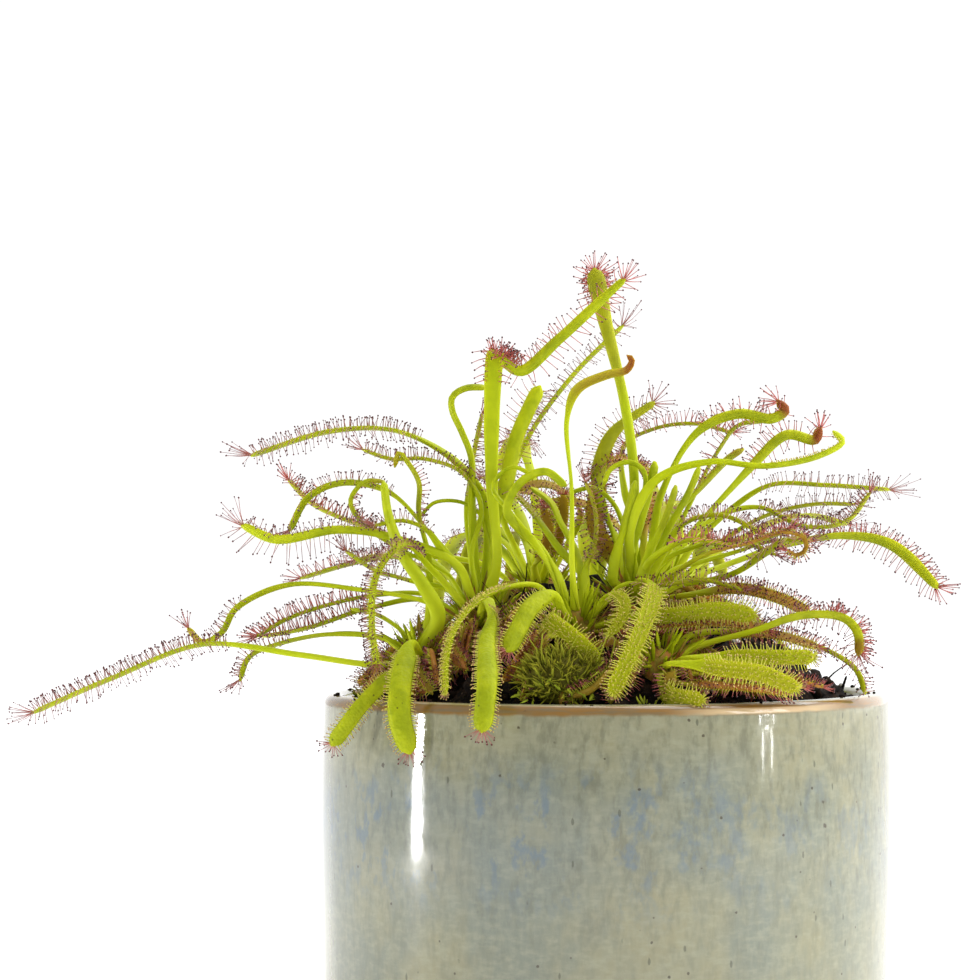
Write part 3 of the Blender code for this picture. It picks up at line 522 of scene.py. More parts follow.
class Surface:
    """Closed tubes with named numbers per point, which become one mesh."""

    def __init__(self):
        self.points, self.quads, self.triangles, self.numbers = [], [], [], {}
        self.count = 0

    def tubes(self, rings, start, end, **numbers):
        """Adds closed tubes: rings is (tubes, rows, columns, 3), start and end their poles.
        Every call on one surface gives the same numbers. Each holds per ring point or
        spreads over them, and its mean over the end rings serves the poles."""
        copies, rows, columns = shape = rings.shape[:3]
        poles = np.stack([start, end], 1).reshape(-1, 3)
        ring_points = copies * rows * columns
        self.points += [rings.reshape(-1, 3), poles]
        self.quads.append(grid_quads(rows, columns, copies) + self.count)
        self.triangles.append(pole_triangles(rows, columns, copies, ring_points) + self.count)
        self.count += ring_points + len(poles)
        for name, value in numbers.items():
            value = np.broadcast_to(value, shape)
            ends = np.stack([value[:, 0].mean(1), value[:, -1].mean(1)], 1)
            self.numbers.setdefault(name, []).extend([value.reshape(-1), ends.reshape(-1)])

    def make(self, name, material, slot, replaced=()):
        """Makes the object, smooth shaded, riding on the part's one body."""
        points = np.concatenate(self.points)
        quads, triangles = np.concatenate(self.quads), np.concatenate(self.triangles)
        mesh = bpy.data.meshes.new(name)
        mesh.vertices.add(len(points))
        mesh.vertices.foreach_set("co", (points * MM).astype(np.float32).reshape(-1))
        corners = np.concatenate([quads.reshape(-1), triangles.reshape(-1)]).astype(np.int32)
        mesh.loops.add(len(corners))
        mesh.loops.foreach_set("vertex_index", corners)
        sizes = np.concatenate([np.full(len(quads), 4), np.full(len(triangles), 3)])
        mesh.polygons.add(len(sizes))
        starts = np.concatenate([[0], np.cumsum(sizes)[:-1]]).astype(np.int32)
        mesh.polygons.foreach_set("loop_start", starts)
        mesh.update(calc_edges=True)
        if mesh.validate():
            raise RuntimeError(name + " has broken faces")
        mesh.shade_smooth()
        for key, values in self.numbers.items():
            layer = mesh.attributes.new(key, "FLOAT", "POINT")
            layer.data.foreach_set("value", np.concatenate(values).astype(np.float32))
        mesh.materials.append(material)
        obj = bpy.data.objects.new(name, mesh)
        bpy.context.scene.collection.objects.link(obj)
        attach(obj, "root")
        if replaced:
            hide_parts(*replaced)
        return obj


def smooth_route(points, step):
    """Points about one step apart on a centripetal Catmull-Rom curve: each span blends the
    four points round it, and the knots lie the square root of the distances apart."""
    points = np.array(points, float)
    points = np.concatenate([[2 * points[0] - points[1]], points, [2 * points[-1] - points[-2]]])
    gaps = np.sqrt(np.linalg.norm(np.diff(points, axis=0), axis=1))
    knots = np.concatenate([[0], np.cumsum(gaps)])
    spans = len(points) - 3
    k0, k1, k2, k3 = (knots[i:spans + i, None, None] for i in range(4))
    p0, p1, p2, p3 = (points[i:spans + i, None, :] for i in range(4))
    t = k1 + (k2 - k1) * np.linspace(0, 1, 24, endpoint=False)[None, :, None]
    a1 = (k1 - t) / (k1 - k0) * p0 + (t - k0) / (k1 - k0) * p1
    a2 = (k2 - t) / (k2 - k1) * p1 + (t - k1) / (k2 - k1) * p2
    a3 = (k3 - t) / (k3 - k2) * p2 + (t - k2) / (k3 - k2) * p3
    b1 = (k2 - t) / (k2 - k0) * a1 + (t - k0) / (k2 - k0) * a2
    b2 = (k3 - t) / (k3 - k1) * a2 + (t - k1) / (k3 - k1) * a3
    dense = ((k2 - t) / (k2 - k1) * b1 + (t - k1) / (k2 - k1) * b2).reshape(-1, 3)
    dense = np.concatenate([dense, points[-2:-1]])
    steps = np.linalg.norm(np.diff(dense, axis=0), axis=1)
    along = np.concatenate([[0], np.cumsum(steps)])
    stations = np.linspace(0, along[-1], max(6, round(along[-1] / step)) + 1)
    return np.stack([np.interp(stations, along, dense[:, i]) for i in range(3)], 1)


def carried_frames(route):
    """At each station the direction along the route and the way that the upper side faces:
    it starts as the part of +Z square to the route, and each next one is the last one
    mirrored in the step's middle plane and then in the plane that lines the directions up."""
    along = unit(np.gradient(route, axis=0))
    start = np.array([0, 0, 1.0]) - along[0, 2] * along[0]
    faces = [start / np.linalg.norm(start)]
    for i in range(len(route) - 1):
        step = route[i + 1] - route[i]
        mirrored = faces[-1] - 2 * np.dot(step, faces[-1]) / np.dot(step, step) * step
        turned = along[i] - 2 * np.dot(step, along[i]) / np.dot(step, step) * step
        change = along[i + 1] - turned
        if np.dot(change, change) > 1e-12:
            mirrored = mirrored - 2 * np.dot(change, mirrored) / np.dot(change, change) * change
        faces.append(mirrored / np.linalg.norm(mirrored))
    return along, np.array(faces)


class Leaf:
    """A leaf's route with its frame, widths and thicknesses at stations along it. The frame
    turns about the route from the stalk to the blade, as far as brings the upper face
    nearest to its way of looking a third of the way along the blade."""

    def __init__(self, crown, stalk, blade, blade_start, facing, habit, tone, points,
                 folded=False, step=0.8, seed=0.0, name="", dry=0.0):
        centre, radius = CROWNS[crown]
        towards = unit(np.subtract(points[0], centre))
        root = np.add(centre, towards * (radius + CROWN_GAP))
        route = smooth_route([root, *points], step)
        # Two stations more carry the stalk down into the crown.
        buried = towards * np.array([[0.45 * radius], [radius - 1.4]])
        route = np.concatenate([np.add(centre, buried), route])
        self.middle, self.habit = route, habit
        self.tone, self.dry = min(tone, 1), max(dry, tone - 1)
        self.folded = folded or habit == "young"
        self.coil = COILED.get(name, 0.3 * (habit == "young"))
        self.tuft = TUFTS.get(name)
        self.dotted = 0.75 if habit in ("drooping", "bristly") else 0.12
        self.blade = blade
        self.tentacles_from = TENTACLES_FROM.get(name, blade_start)
        self.along, up = carried_frames(route)
        steps = np.linalg.norm(np.diff(route, axis=0), axis=1)
        self.distance = np.concatenate([[0], np.cumsum(steps)]) - steps[0]
        self.length = self.distance[-1]
        share = self.share = np.clip(self.distance / self.length, 0, 1)
        side = np.cross(self.along, up)

        def turn_to(way, at_share):
            """Turn about the route that brings the upper face nearest to a way there."""
            i = np.searchsorted(share, at_share)
            return math.atan2(np.dot(way, side[i]), np.dot(way, up[i]))

        first, turn_from = 0.0, 0.3 * blade_start
        if name in STRAPS:
            first, turn_from = turn_to(STRAPS[name], 0.5 * blade_start), 0.9 * blade_start
        turn = math.remainder(turn_to(facing, 0.65 * blade_start + 0.35) - first, math.tau)
        angle = first + turn * smoothstep(turn_from, blade_start + 0.05, share)[:, None]
        self.up = up * np.cos(angle) + side * np.sin(angle)
        self.side = side * np.cos(angle) - up * np.sin(angle)
        in_blade = self.in_blade = smoothstep(blade_start - 0.08, blade_start + 0.1, share)

        # Stalk and blade by the table, uneven by a twentieth, wider at the foot and round at
        # the tip, where the width follows a quarter of an ellipse.
        wobble = 1 + 0.05 * lattice_noise(
            np.stack([self.distance / 6, share * 0 + seed, share * 0], -1))
        foot = 1 + 0.4 * (1 - smoothstep(0.0, 0.12, share))
        width = stalk + (blade - stalk) * in_blade
        if name in WIDTHS:
            width = np.interp(share, *zip(*WIDTHS[name]))
        width = width * foot * wobble
        rounding = 0.75 * width[-1]
        into_tip = np.clip((self.distance - self.length + rounding) / rounding, 0, 0.985)
        tip = np.sqrt(1 - into_tip**2)
        self.half = width / 2 * tip
        deep = STALK_DEPTH * stalk
        blade_deep = FOLDED_DEPTH * blade if self.folded else FLAT_DEPTH
        if habit == "bare":
            blade_deep = deep
        self.thick = (deep + (blade_deep - deep) * in_blade) / 2 * (0.35 + 0.65 * tip)
        self.cup = (0.55 if self.folded else 0.22) * in_blade

    def at(self, distance, values):
        """A station value, or vector, at the given distances along the leaf."""
        if values.ndim == 1:
            return np.interp(distance, self.distance, values)
        return np.stack([np.interp(distance, self.distance, values[:, i]) for i in range(3)], -1)

    def surface(self, surface, around):
        """Adds the closed blade: at angle a the point lies cos(a) half widths to the side and
        sin(a) half thicknesses up, less on the upper face, the margins raised by the cup."""
        a = round_angles(around, -1)
        across, upper = np.cos(a), np.sin(a)
        rise = np.where(upper > 0, UPPER_BULGE, 1) * upper
        cupped = (self.cup * self.half)[:, None] * (across**2)[None, :]
        ups = self.thick[:, None] * rise[None, :] + cupped
        rings = (self.middle[:, None, :]
                 + self.side[:, None, :] * (self.half[:, None] * across[None, :])[..., None]
                 + self.up[:, None, :] * ups[..., None])
        tip_end = self.middle[-1] + self.along[-1] * 0.15
        surface.tubes(
            rings[None], self.middle[:1], tip_end[None],
            along=self.share[:, None], blade=self.in_blade[:, None], upper=upper,
            tone=self.tone, coil=self.coil, dry=self.dry, dotted=self.dotted)

    def tentacles(self, rng, density):
        """Roots, first and last directions, lengths, redness and greenness of the leaf's
        tentacles, or None where it has none."""
        space, on_face, on_edge, on_tip, fall, redness, green = HABITS[self.habit]
        begin = self.length * (self.tentacles_from + 0.02)
        end = self.length - 0.25 * self.blade
        reach = end - begin
        if on_face == 0 or reach < 3:
            return None
        if self.folded:
            # On a folded blade's face they stop short of the tip; the margins' ones go on.
            end = begin + 0.62 * reach
            reach = end - begin
        space = space / density
        rows = max(2, round(0.8 * self.blade / (0.62 if self.habit == "bristly" else 0.85)))
        count = max(3, int(reach / space))
        at = np.tile(np.linspace(begin, end, count), rows)
        at = at + rng.uniform(-0.5, 0.5, rows * count) * space
        x = np.repeat(np.linspace(-0.72, 0.72, rows), count)
        x = x + rng.uniform(-0.12, 0.12, rows * count)
        edges = max(4, int(reach / (space * 1.05)))
        edge_at = np.tile(np.linspace(begin, self.length - 0.2 * self.blade, edges), 2)
        edge_at = edge_at + rng.uniform(-0.35, 0.35, 2 * edges) * space
        edge_x = np.repeat([-0.97, 0.97], edges)
        parts = [self._group(rng, at, x, on_face, 0.0, redness, green, 0.42)]
        parts.append(self._group(rng, edge_at, edge_x, on_edge, fall, redness, 0.9 * green, 0.30,
                                 edge=True))
        if self.tuft:
            place, many, long, spread = self.tuft
            tuft_at = place * self.length + rng.uniform(-spread, spread, many)
            parts.append(self._group(rng, np.minimum(tuft_at, end), rng.uniform(-1, 1, many),
                                     long, 0.0, 1.0, 0.0, 0.9))
        if on_tip:
            parts.append(self._fan(rng, on_tip, redness, green))
        return [np.concatenate(column) for column in zip(*parts)]

    def _fan(self, rng, length, redness, green):
        """Tentacles that spread from the tip: forward + side across + up lift, made unit."""
        many = TIP_TENTACLES
        tip_at = np.full(many, self.length - 0.15 * self.blade)
        spread = np.linspace(-1, 1, many) + rng.uniform(-0.08, 0.08, many)
        lift = rng.uniform(-0.35, 0.75, many)
        forward, side, up = (self.at(tip_at, v) for v in (self.along, self.side, self.up))
        first = unit(forward * (1.15 - 0.5 * np.abs(spread))[:, None]
                     + side * spread[:, None] * 1.1 + up * lift[:, None])
        last = unit(first + up * 0.2 + 0.1 * rng.normal(size=(many, 3)))
        roots = self.at(tip_at, self.middle) + side * (spread * 0.4)[:, None]
        lengths = length * rng.uniform(0.7, 1.1, many)
        return (roots, first, last, lengths, np.full(many, redness),
                np.full(many, green * (0.2 if green < 0.92 else 0.75)))

    def _group(self, rng, at, x, length, fall, redness, green, loose, edge=False):
        """Tentacles at distances along and places across: on the face they stand up, along the
        margins they lean out, back at the blade's foot and forward near its tip."""
        x = np.clip(x, -0.98, 0.98)
        middle, forward, side, up = (
            self.at(at, v) for v in (self.middle, self.along, self.side, self.up))
        half, thick, cup = (self.at(at, v) for v in (self.half, self.thick, self.cup))
        rise = thick * UPPER_BULGE * np.sqrt(1 - x**2) + cup * half * x**2
        roots = middle + side * (half * x)[:, None] + up * (rise * 0.9)[:, None]
        passed = (at / self.length - self.tentacles_from) / (1 - self.tentacles_from)
        random = rng.normal(size=(len(at), 3)) * loose * 0.6
        if edge:
            outward = np.sign(x)
            lean = -0.55 + 1.15 * passed
            first = side * outward[:, None] + up * (0.25 * fall) + forward * lean[:, None] * 0.6
            last = side * (outward * (1 - 0.35 * abs(fall)))[:, None] + up * fall * 1.3 \
                + forward * lean[:, None]
        else:
            first = up + side * (0.35 * x)[:, None] + forward * 0.1
            last = up + side * (0.8 * x)[:, None] + forward * (-0.2 + 0.45 * passed)[:, None]
        short = 0.55 + 0.45 * smoothstep(0.0, 0.2, passed)
        lengths = length * short * rng.uniform(0.72, 1.12, len(at))
        return (roots, unit(first + random * 0.6), unit(last + random), lengths,
                np.full(len(at), redness), np.full(len(at), green))


def kept_inside(roots, first, last, lengths):
    """Lengths shortened where a tentacle would pass the solids' box by over 2.5 % of a side."""
    low, high = (np.array(corner) / MM for corner in CAD_BOX)
    spare = 0.025 * (high - low) - 0.5
    reach = (first + last) / 2 * lengths[:, None]
    room = np.where(reach > 0, high + spare - roots, roots - low + spare)
    return lengths * np.clip((room / np.maximum(np.abs(reach), 1e-6)).min(1), 0.1, 1)


def tentacle_tubes(surface, roots, first, last, lengths, redness, green, rng, corners):
    """Adds one thin tube a tentacle. Its direction turns evenly from the first to the last, so
    the middle line is root + length (first t + (last - first) t^2 / 2), and the gland is a
    spindle on its end. "reach" runs from 0 at the root to 1 at the neck and 2 on the gland.
    Tentacles of three corners have one ring on the gland in place of two."""
    count = len(roots)
    lengths = kept_inside(roots, first, last, lengths)
    sizes = rng.uniform(0.85, 1.2, count) * np.where(green > 0.5, 0.7, 1)
    fine = corners > 3
    t, beyond, radii, stops = np.array(TENTACLE_RINGS if fine else TENTACLE_RINGS[:4]).T
    if not fine:
        beyond = beyond + (0, 0, 0, 0.09)
    curve = (first[:, None] * t[None, :, None]
             + (last - first)[:, None] * (t**2 / 2)[None, :, None]) * lengths[:, None, None]
    heads = beyond[None, :, None] * sizes[:, None, None] * last[:, None]
    lines = roots[:, None] + curve + heads
    direction = unit(first[:, None] + (last - first)[:, None] * t[None, :, None])
    stout = 1 + 0.5 * np.maximum(green, redness**4)
    thick = np.where(stops > 1, sizes[:, None], stout[:, None]) * radii
    rings = rings_round(lines, direction, thick, corners)
    end = lines[:, -1] + last * ((0.12 if fine else 0.2) * sizes)[:, None]
    surface.tubes(rings, roots - first * 0.05, end, reach=stops[None, :, None],
                  red=redness[:, None, None], green=green[:, None, None],
                  chance=rng.uniform(0, 1, count)[:, None, None])


def lumps(surface, centres, sizes, rng, rough=0.3):
    """Adds one rough crumb a centre: a ball of three rings whose radius varies at random,
    about three quarters as tall as it is wide."""
    count = len(centres)
    ball = round_grid(np.radians([-48, 0, 48]), round_angles(6))
    radii = sizes[:, None, None] * rng.uniform(1 - rough, 1 + rough, (count, 3, 6))
    stretch = rng.uniform(0.7, 1.3, (count, 1, 1, 3)) * (1, 1, 0.75)
    rings = centres[:, None, None] + ball[None] * radii[..., None] * stretch
    pole = np.array([0, 0, 1.0]) * (sizes[:, None] * stretch[:, 0, 0])
    surface.tubes(rings, centres - pole, centres + pole)


def scales(surface, roots, out, up, lengths, widths, bend, **numbers):
    """Adds small pointed leaflets: flattened spindles whose middle line is root + length
    (out t + bend up t^2), with width sin(pi (t + 0.18) / 1.25) of the full one."""
    t = np.array([0.0, 0.3, 0.65, 0.9])
    share = np.sin(math.pi * (t + 0.18) / 1.25)
    side = unit(np.cross(out, up))
    face = unit(np.cross(side, out))
    lines = roots[:, None] + lengths[:, None, None] * (
        out[:, None] * t[None, :, None] + up[:, None] * (bend * t**2)[None, :, None])
    angle = round_angles(4, -1)
    broad = widths[:, None] / 2 * share
    rings = lines[:, :, None] + (
        side[:, None, None] * (broad[..., None] * np.cos(angle))[..., None]
        + face[:, None, None] * (broad[..., None] * 0.25 * np.sin(angle))[..., None])
    tips = roots + lengths[:, None] * (out + up * bend)
    surface.tubes(rings, roots - out * 0.1, tips, along=t[None, :, None],
                  **{key: np.reshape(value, (-1, 1, 1)) for key, value in numbers.items()})


def strands(surface, roots, out, lengths, thick, curl, rng, **numbers):
    """Adds thin fibres: tubes along root + length (out t + curl t^2), half as thick at the
    end as at the root."""
    t = np.linspace(0, 1, 5)
    bend = rng.normal(size=(len(roots), 3)) * curl
    lines = roots[:, None] + lengths[:, None, None] * (
        out[:, None] * t[None, :, None] + bend[:, None] * (t**2)[None, :, None])
    direction = unit(out[:, None] + 2 * bend[:, None] * t[None, :, None])
    rings = rings_round(lines, direction, thick[:, None] * (1 - 0.5 * t), 4)
    surface.tubes(rings, lines[:, 0], lines[:, -1] + direction[:, -1] * thick[:, None],
                  **numbers)


def pot_radius(height):
    """Outer radius: widest at the belly, less by a cosine towards the lip and the foot."""
    height = np.asarray(height, float)
    reach = np.where(height > POT_BELLY_HEIGHT, POT_HEIGHT - POT_BELLY_HEIGHT, POT_BELLY_HEIGHT)
    share = (height - POT_BELLY_HEIGHT) / reach
    return POT_RADIUS - POT_NARROWING * (1 - np.cos(share * math.pi / 2))


POT_INNER = float(pot_radius(POT_HEIGHT - POT_WALL / 2)) - POT_WALL
PEAT_REACH = POT_INNER - 0.15


def lip_share(cosine):
    """How far the lip stands up at a bearing: 1 on the left, 1.6 on the right."""
    return 1 + 0.6 * ((1 + cosine) / 2)**3


def peat_height(x, y):
    """Height of the peat's mound, without its crumbs: edge + rise (1 - (r / inner)^power)."""
    distance = np.clip(np.hypot(x, y) / POT_INNER, 0, 1)
    return PEAT_EDGE + PEAT_RISE * (1 - distance**PEAT_POWER)


def peat_rough(x, y):
    """Height of the crumbs on the mound: layered noise of three sizes and one finer noise."""
    flat = np.stack([x, y, 0 * x], -1)
    bumps = 1.5 * layered_noise(flat / 5.5, 3, 4.0) + 0.7 * lattice_noise(flat / 1.1, 9.0)
    return bumps - 0.6


def strewn(rng, count, nearest, furthest):
    """Random places on the peat as x, y and the height of its top. The squared distance from
    the axis is even between two shares of the peat's own, which spreads them evenly."""
    bearing = rng.uniform(0, math.tau, count)
    away = PEAT_REACH * np.sqrt(rng.uniform(nearest, furthest, count))
    x, y = away * np.cos(bearing), away * np.sin(bearing)
    return x, y, peat_height(x, y) + peat_rough(x, y)


def on_lip(rng, count, rise):
    """Random places on the pot's lip, whose section is half a circle as wide as the wall."""
    bearing = rng.uniform(0, math.tau, count)
    away = rng.uniform(POT_INNER + 0.4, POT_INNER + 3.6, count)
    offset = away - POT_INNER - POT_WALL / 2
    top = POT_HEIGHT - POT_WALL / 2 + np.sqrt((POT_WALL / 2)**2 - offset**2)
    top = top + rise * lip_share(np.cos(bearing))
    return np.stack([away * np.cos(bearing), away * np.sin(bearing), top + 0.1], -1)


class Wiring:
    """Short ways to add and join nodes in one tree."""

    def __init__(self, tree):
        self.tree = tree
        tree.nodes.clear()

    def set(self, socket, value):
        """Joins a socket to an input, or sets the input to a value."""
        if isinstance(value, bpy.types.NodeSocket):
            self.tree.links.new(value, socket)
        else:
            whole = socket.type == "RGBA" and len(value) == 3
            socket.default_value = (*value, 1) if whole else value

    def node(self, kind, inputs=(), **settings):
        """A shader node of a kind, with its inputs by name or index and its settings."""
        node = self.tree.nodes.new("ShaderNode" + kind)
        for key, value in settings.items():
            setattr(node, key, value)
        for key, value in dict(inputs).items():
            self.set(node.inputs[key], value)
        return node

    def math(self, operation, a, b=0.0):
        return self.node("Math", {0: a, 1: b}, operation=operation).outputs[0]

    def times(self, a, b):
        return self.math("MULTIPLY", a, b)

    def plus(self, a, b):
        return self.math("ADD", a, b)

    def less(self, a, b):
        return self.math("SUBTRACT", a, b)

    def mix(self, factor, a, b):
        """Colour a where the factor is 0 and b where it is 1."""
        node = self.node("Mix", {0: factor, 6: a, 7: b}, data_type="RGBA")
        return node.outputs[2]

    def wash(self, mask, strength, colour, over):
        """A colour with another over it where the mask is, as strong as the strength."""
        return self.mix(self.times(mask, strength), colour, over)

    def between(self, value, low, high, to_low=0.0, to_high=1.0):
        """A smooth step from one value to another as the input goes from low to high."""
        node = self.node("MapRange", {
            "Value": value, "From Min": low, "From Max": high, "To Min": to_low,
            "To Max": to_high}, interpolation_type="SMOOTHSTEP")
        return node.outputs[0]

    def window(self, value, low, full, still_full, high):
        """1 between the two full values, smoothly down to 0 at the low and high ones."""
        return self.times(self.between(value, low, full), self.between(value, high, still_full))

    def number(self, name):
        """A surface's number of that name."""
        return self.node("Attribute", attribute_name=name).outputs["Fac"]

    def millimetres(self):
        """Object coordinates as millimetres."""
        place = self.node("TexCoord").outputs["Object"]
        return self.node("Mapping", {"Vector": place, "Scale": (1000, 1000, 1000)}).outputs[0]

    def group(self, tree, inputs):
        """A node group's one output, with its inputs by name."""
        node = self.tree.nodes.new("ShaderNodeGroup")
        node.node_tree = tree
        for key, value in inputs.items():
            self.set(node.inputs[key], value)
        return node.outputs[0]


def new_group(name, inputs, output, output_type, build):
    """A node group with named inputs and one output, built once."""
    tree = bpy.data.node_groups.get(name)
    if tree:
        return tree
    tree = bpy.data.node_groups.new(name, "ShaderNodeTree")
    for key, kind, value in inputs:
        socket = tree.interface.new_socket(key, in_out="INPUT", socket_type="NodeSocket" + kind)
        if value is not None:
            socket.default_value = value
    tree.interface.new_socket(output, in_out="OUTPUT", socket_type="NodeSocket" + output_type)
    w = Wiring(tree)
    source = tree.nodes.new("NodeGroupInput").outputs
    sink = tree.nodes.new("NodeGroupOutput")
    w.set(sink.inputs[0], build(w, source))
    return tree


def drawn_noise_group():
    """Noise drawn out upwards: a mask that is 0 where the noise is below Low, 1 above High."""
    def build(w, given):
        size = w.node("CombineXYZ", {0: given["Across"], 1: given["Across"], 2: given["Upwards"]})
        scaled = w.node("VectorMath", {0: given["Vector"], 1: size.outputs[0]}, operation="DIVIDE")
        moved = w.node("VectorMath", {0: scaled.outputs[0], 1: given["Shift"]}, operation="ADD")
        noise = w.node("TexNoise", {"Vector": moved.outputs[0], "Scale": 1.0, "Detail": 4.0,
                                    "Roughness": 0.6})
        return w.between(noise.outputs["Fac"], given["Low"], given["High"])
    return new_group("Drawn Noise", [
        ("Vector", "Vector", None), ("Across", "Float", 1.0), ("Upwards", "Float", 1.0),
        ("Shift", "Vector", None), ("Low", "Float", 0.4), ("High", "Float", 0.6)],
        "Mask", "Float", build)


def specks_group():
    """Small round specks: 1 inside Size of a random point, kept for Share of the points."""
    def build(w, given):
        inverse = w.math("DIVIDE", 1.0, given["Spacing"])
        cells = w.node("TexVoronoi", {"Vector": given["Vector"], "Scale": inverse})
        distance = w.times(cells.outputs["Distance"], given["Spacing"])
        ragged = w.node("TexNoise", {"Vector": given["Vector"], "Scale": 2.5, "Detail": 2.0})
        edge = w.times(given["Size"], w.plus(ragged.outputs["Fac"], 0.5))
        inside = w.less(1.0, w.between(distance, w.times(edge, 0.6), edge))
        chance = w.node("SeparateColor", {0: cells.outputs["Color"]}).outputs[0]
        return w.times(inside, w.math("LESS_THAN", chance, given["Share"]))
    return new_group("Specks", [
        ("Vector", "Vector", None), ("Spacing", "Float", 3.0), ("Size", "Float", 0.3),
        ("Share", "Float", 0.5)], "Mask", "Float", build)


def grain_group():
    """Fine unevenness: a normal bent by noise of a given size and height."""
    def build(w, given):
        inverse = w.math("DIVIDE", 1.0, given["Size"])
        noise = w.node("TexNoise", {"Vector": given["Vector"], "Scale": inverse, "Detail": 3.0})
        bump = w.node("Bump", {"Strength": given["Strength"], "Distance": 0.0004,
                               "Height": noise.outputs["Fac"]})
        return bump.outputs[0]
    return new_group("Grain", [
        ("Vector", "Vector", None), ("Size", "Float", 1.0), ("Strength", "Float", 0.3)],
        "Normal", "Vector", build)


def pebbles_group():
    """Low round bumps: a normal bent by the distance to the nearest random point."""
    def build(w, given):
        inverse = w.math("DIVIDE", 1.0, given["Size"])
        cells = w.node("TexVoronoi", {"Vector": given["Vector"], "Scale": inverse})
        fine = w.node("TexNoise", {"Vector": given["Vector"], "Scale": inverse, "Detail": 3.0})
        height = w.less(fine.outputs["Fac"], cells.outputs["Distance"])
        bump = w.node("Bump", {"Strength": given["Strength"], "Distance": 0.0005,
                               "Height": height})
        return bump.outputs[0]
    return new_group("Pebbles", [
        ("Vector", "Vector", None), ("Size", "Float", 1.0), ("Strength", "Float", 0.3)],
        "Normal", "Vector", build)


def finish_material(name, build):
    """A material whose colour, roughness and normal come from build(wiring, place)."""
    material = bpy.data.materials.new(name)
    material.use_nodes = True
    w = Wiring(material.node_tree)
    values = build(w, w.millimetres())
    shader = w.node("BsdfPrincipled", values)
    out = w.node("OutputMaterial")
    w.set(out.inputs[0], shader.outputs[0])
    return material


def noise_mask(w, place, across, upwards, low, high, shift=(0, 0, 0)):
    """Drawn-out noise whose cells are so wide and so tall in millimetres."""
    return w.group(drawn_noise_group(), {"Vector": place, "Across": across, "Upwards": upwards,
                                         "Shift": shift, "Low": low, "High": high})


def speck_mask(w, place, spacing, size, share):
    """Specks so far apart and so large in millimetres, kept for a share of the points."""
    return w.group(specks_group(), {"Vector": place, "Spacing": spacing, "Size": size,
                                    "Share": share})


def grain(w, place, size, strength, group=grain_group):
    """A normal bent by grains of a size in millimetres."""
    return w.group(group(), {"Vector": place, "Size": size, "Strength": strength})


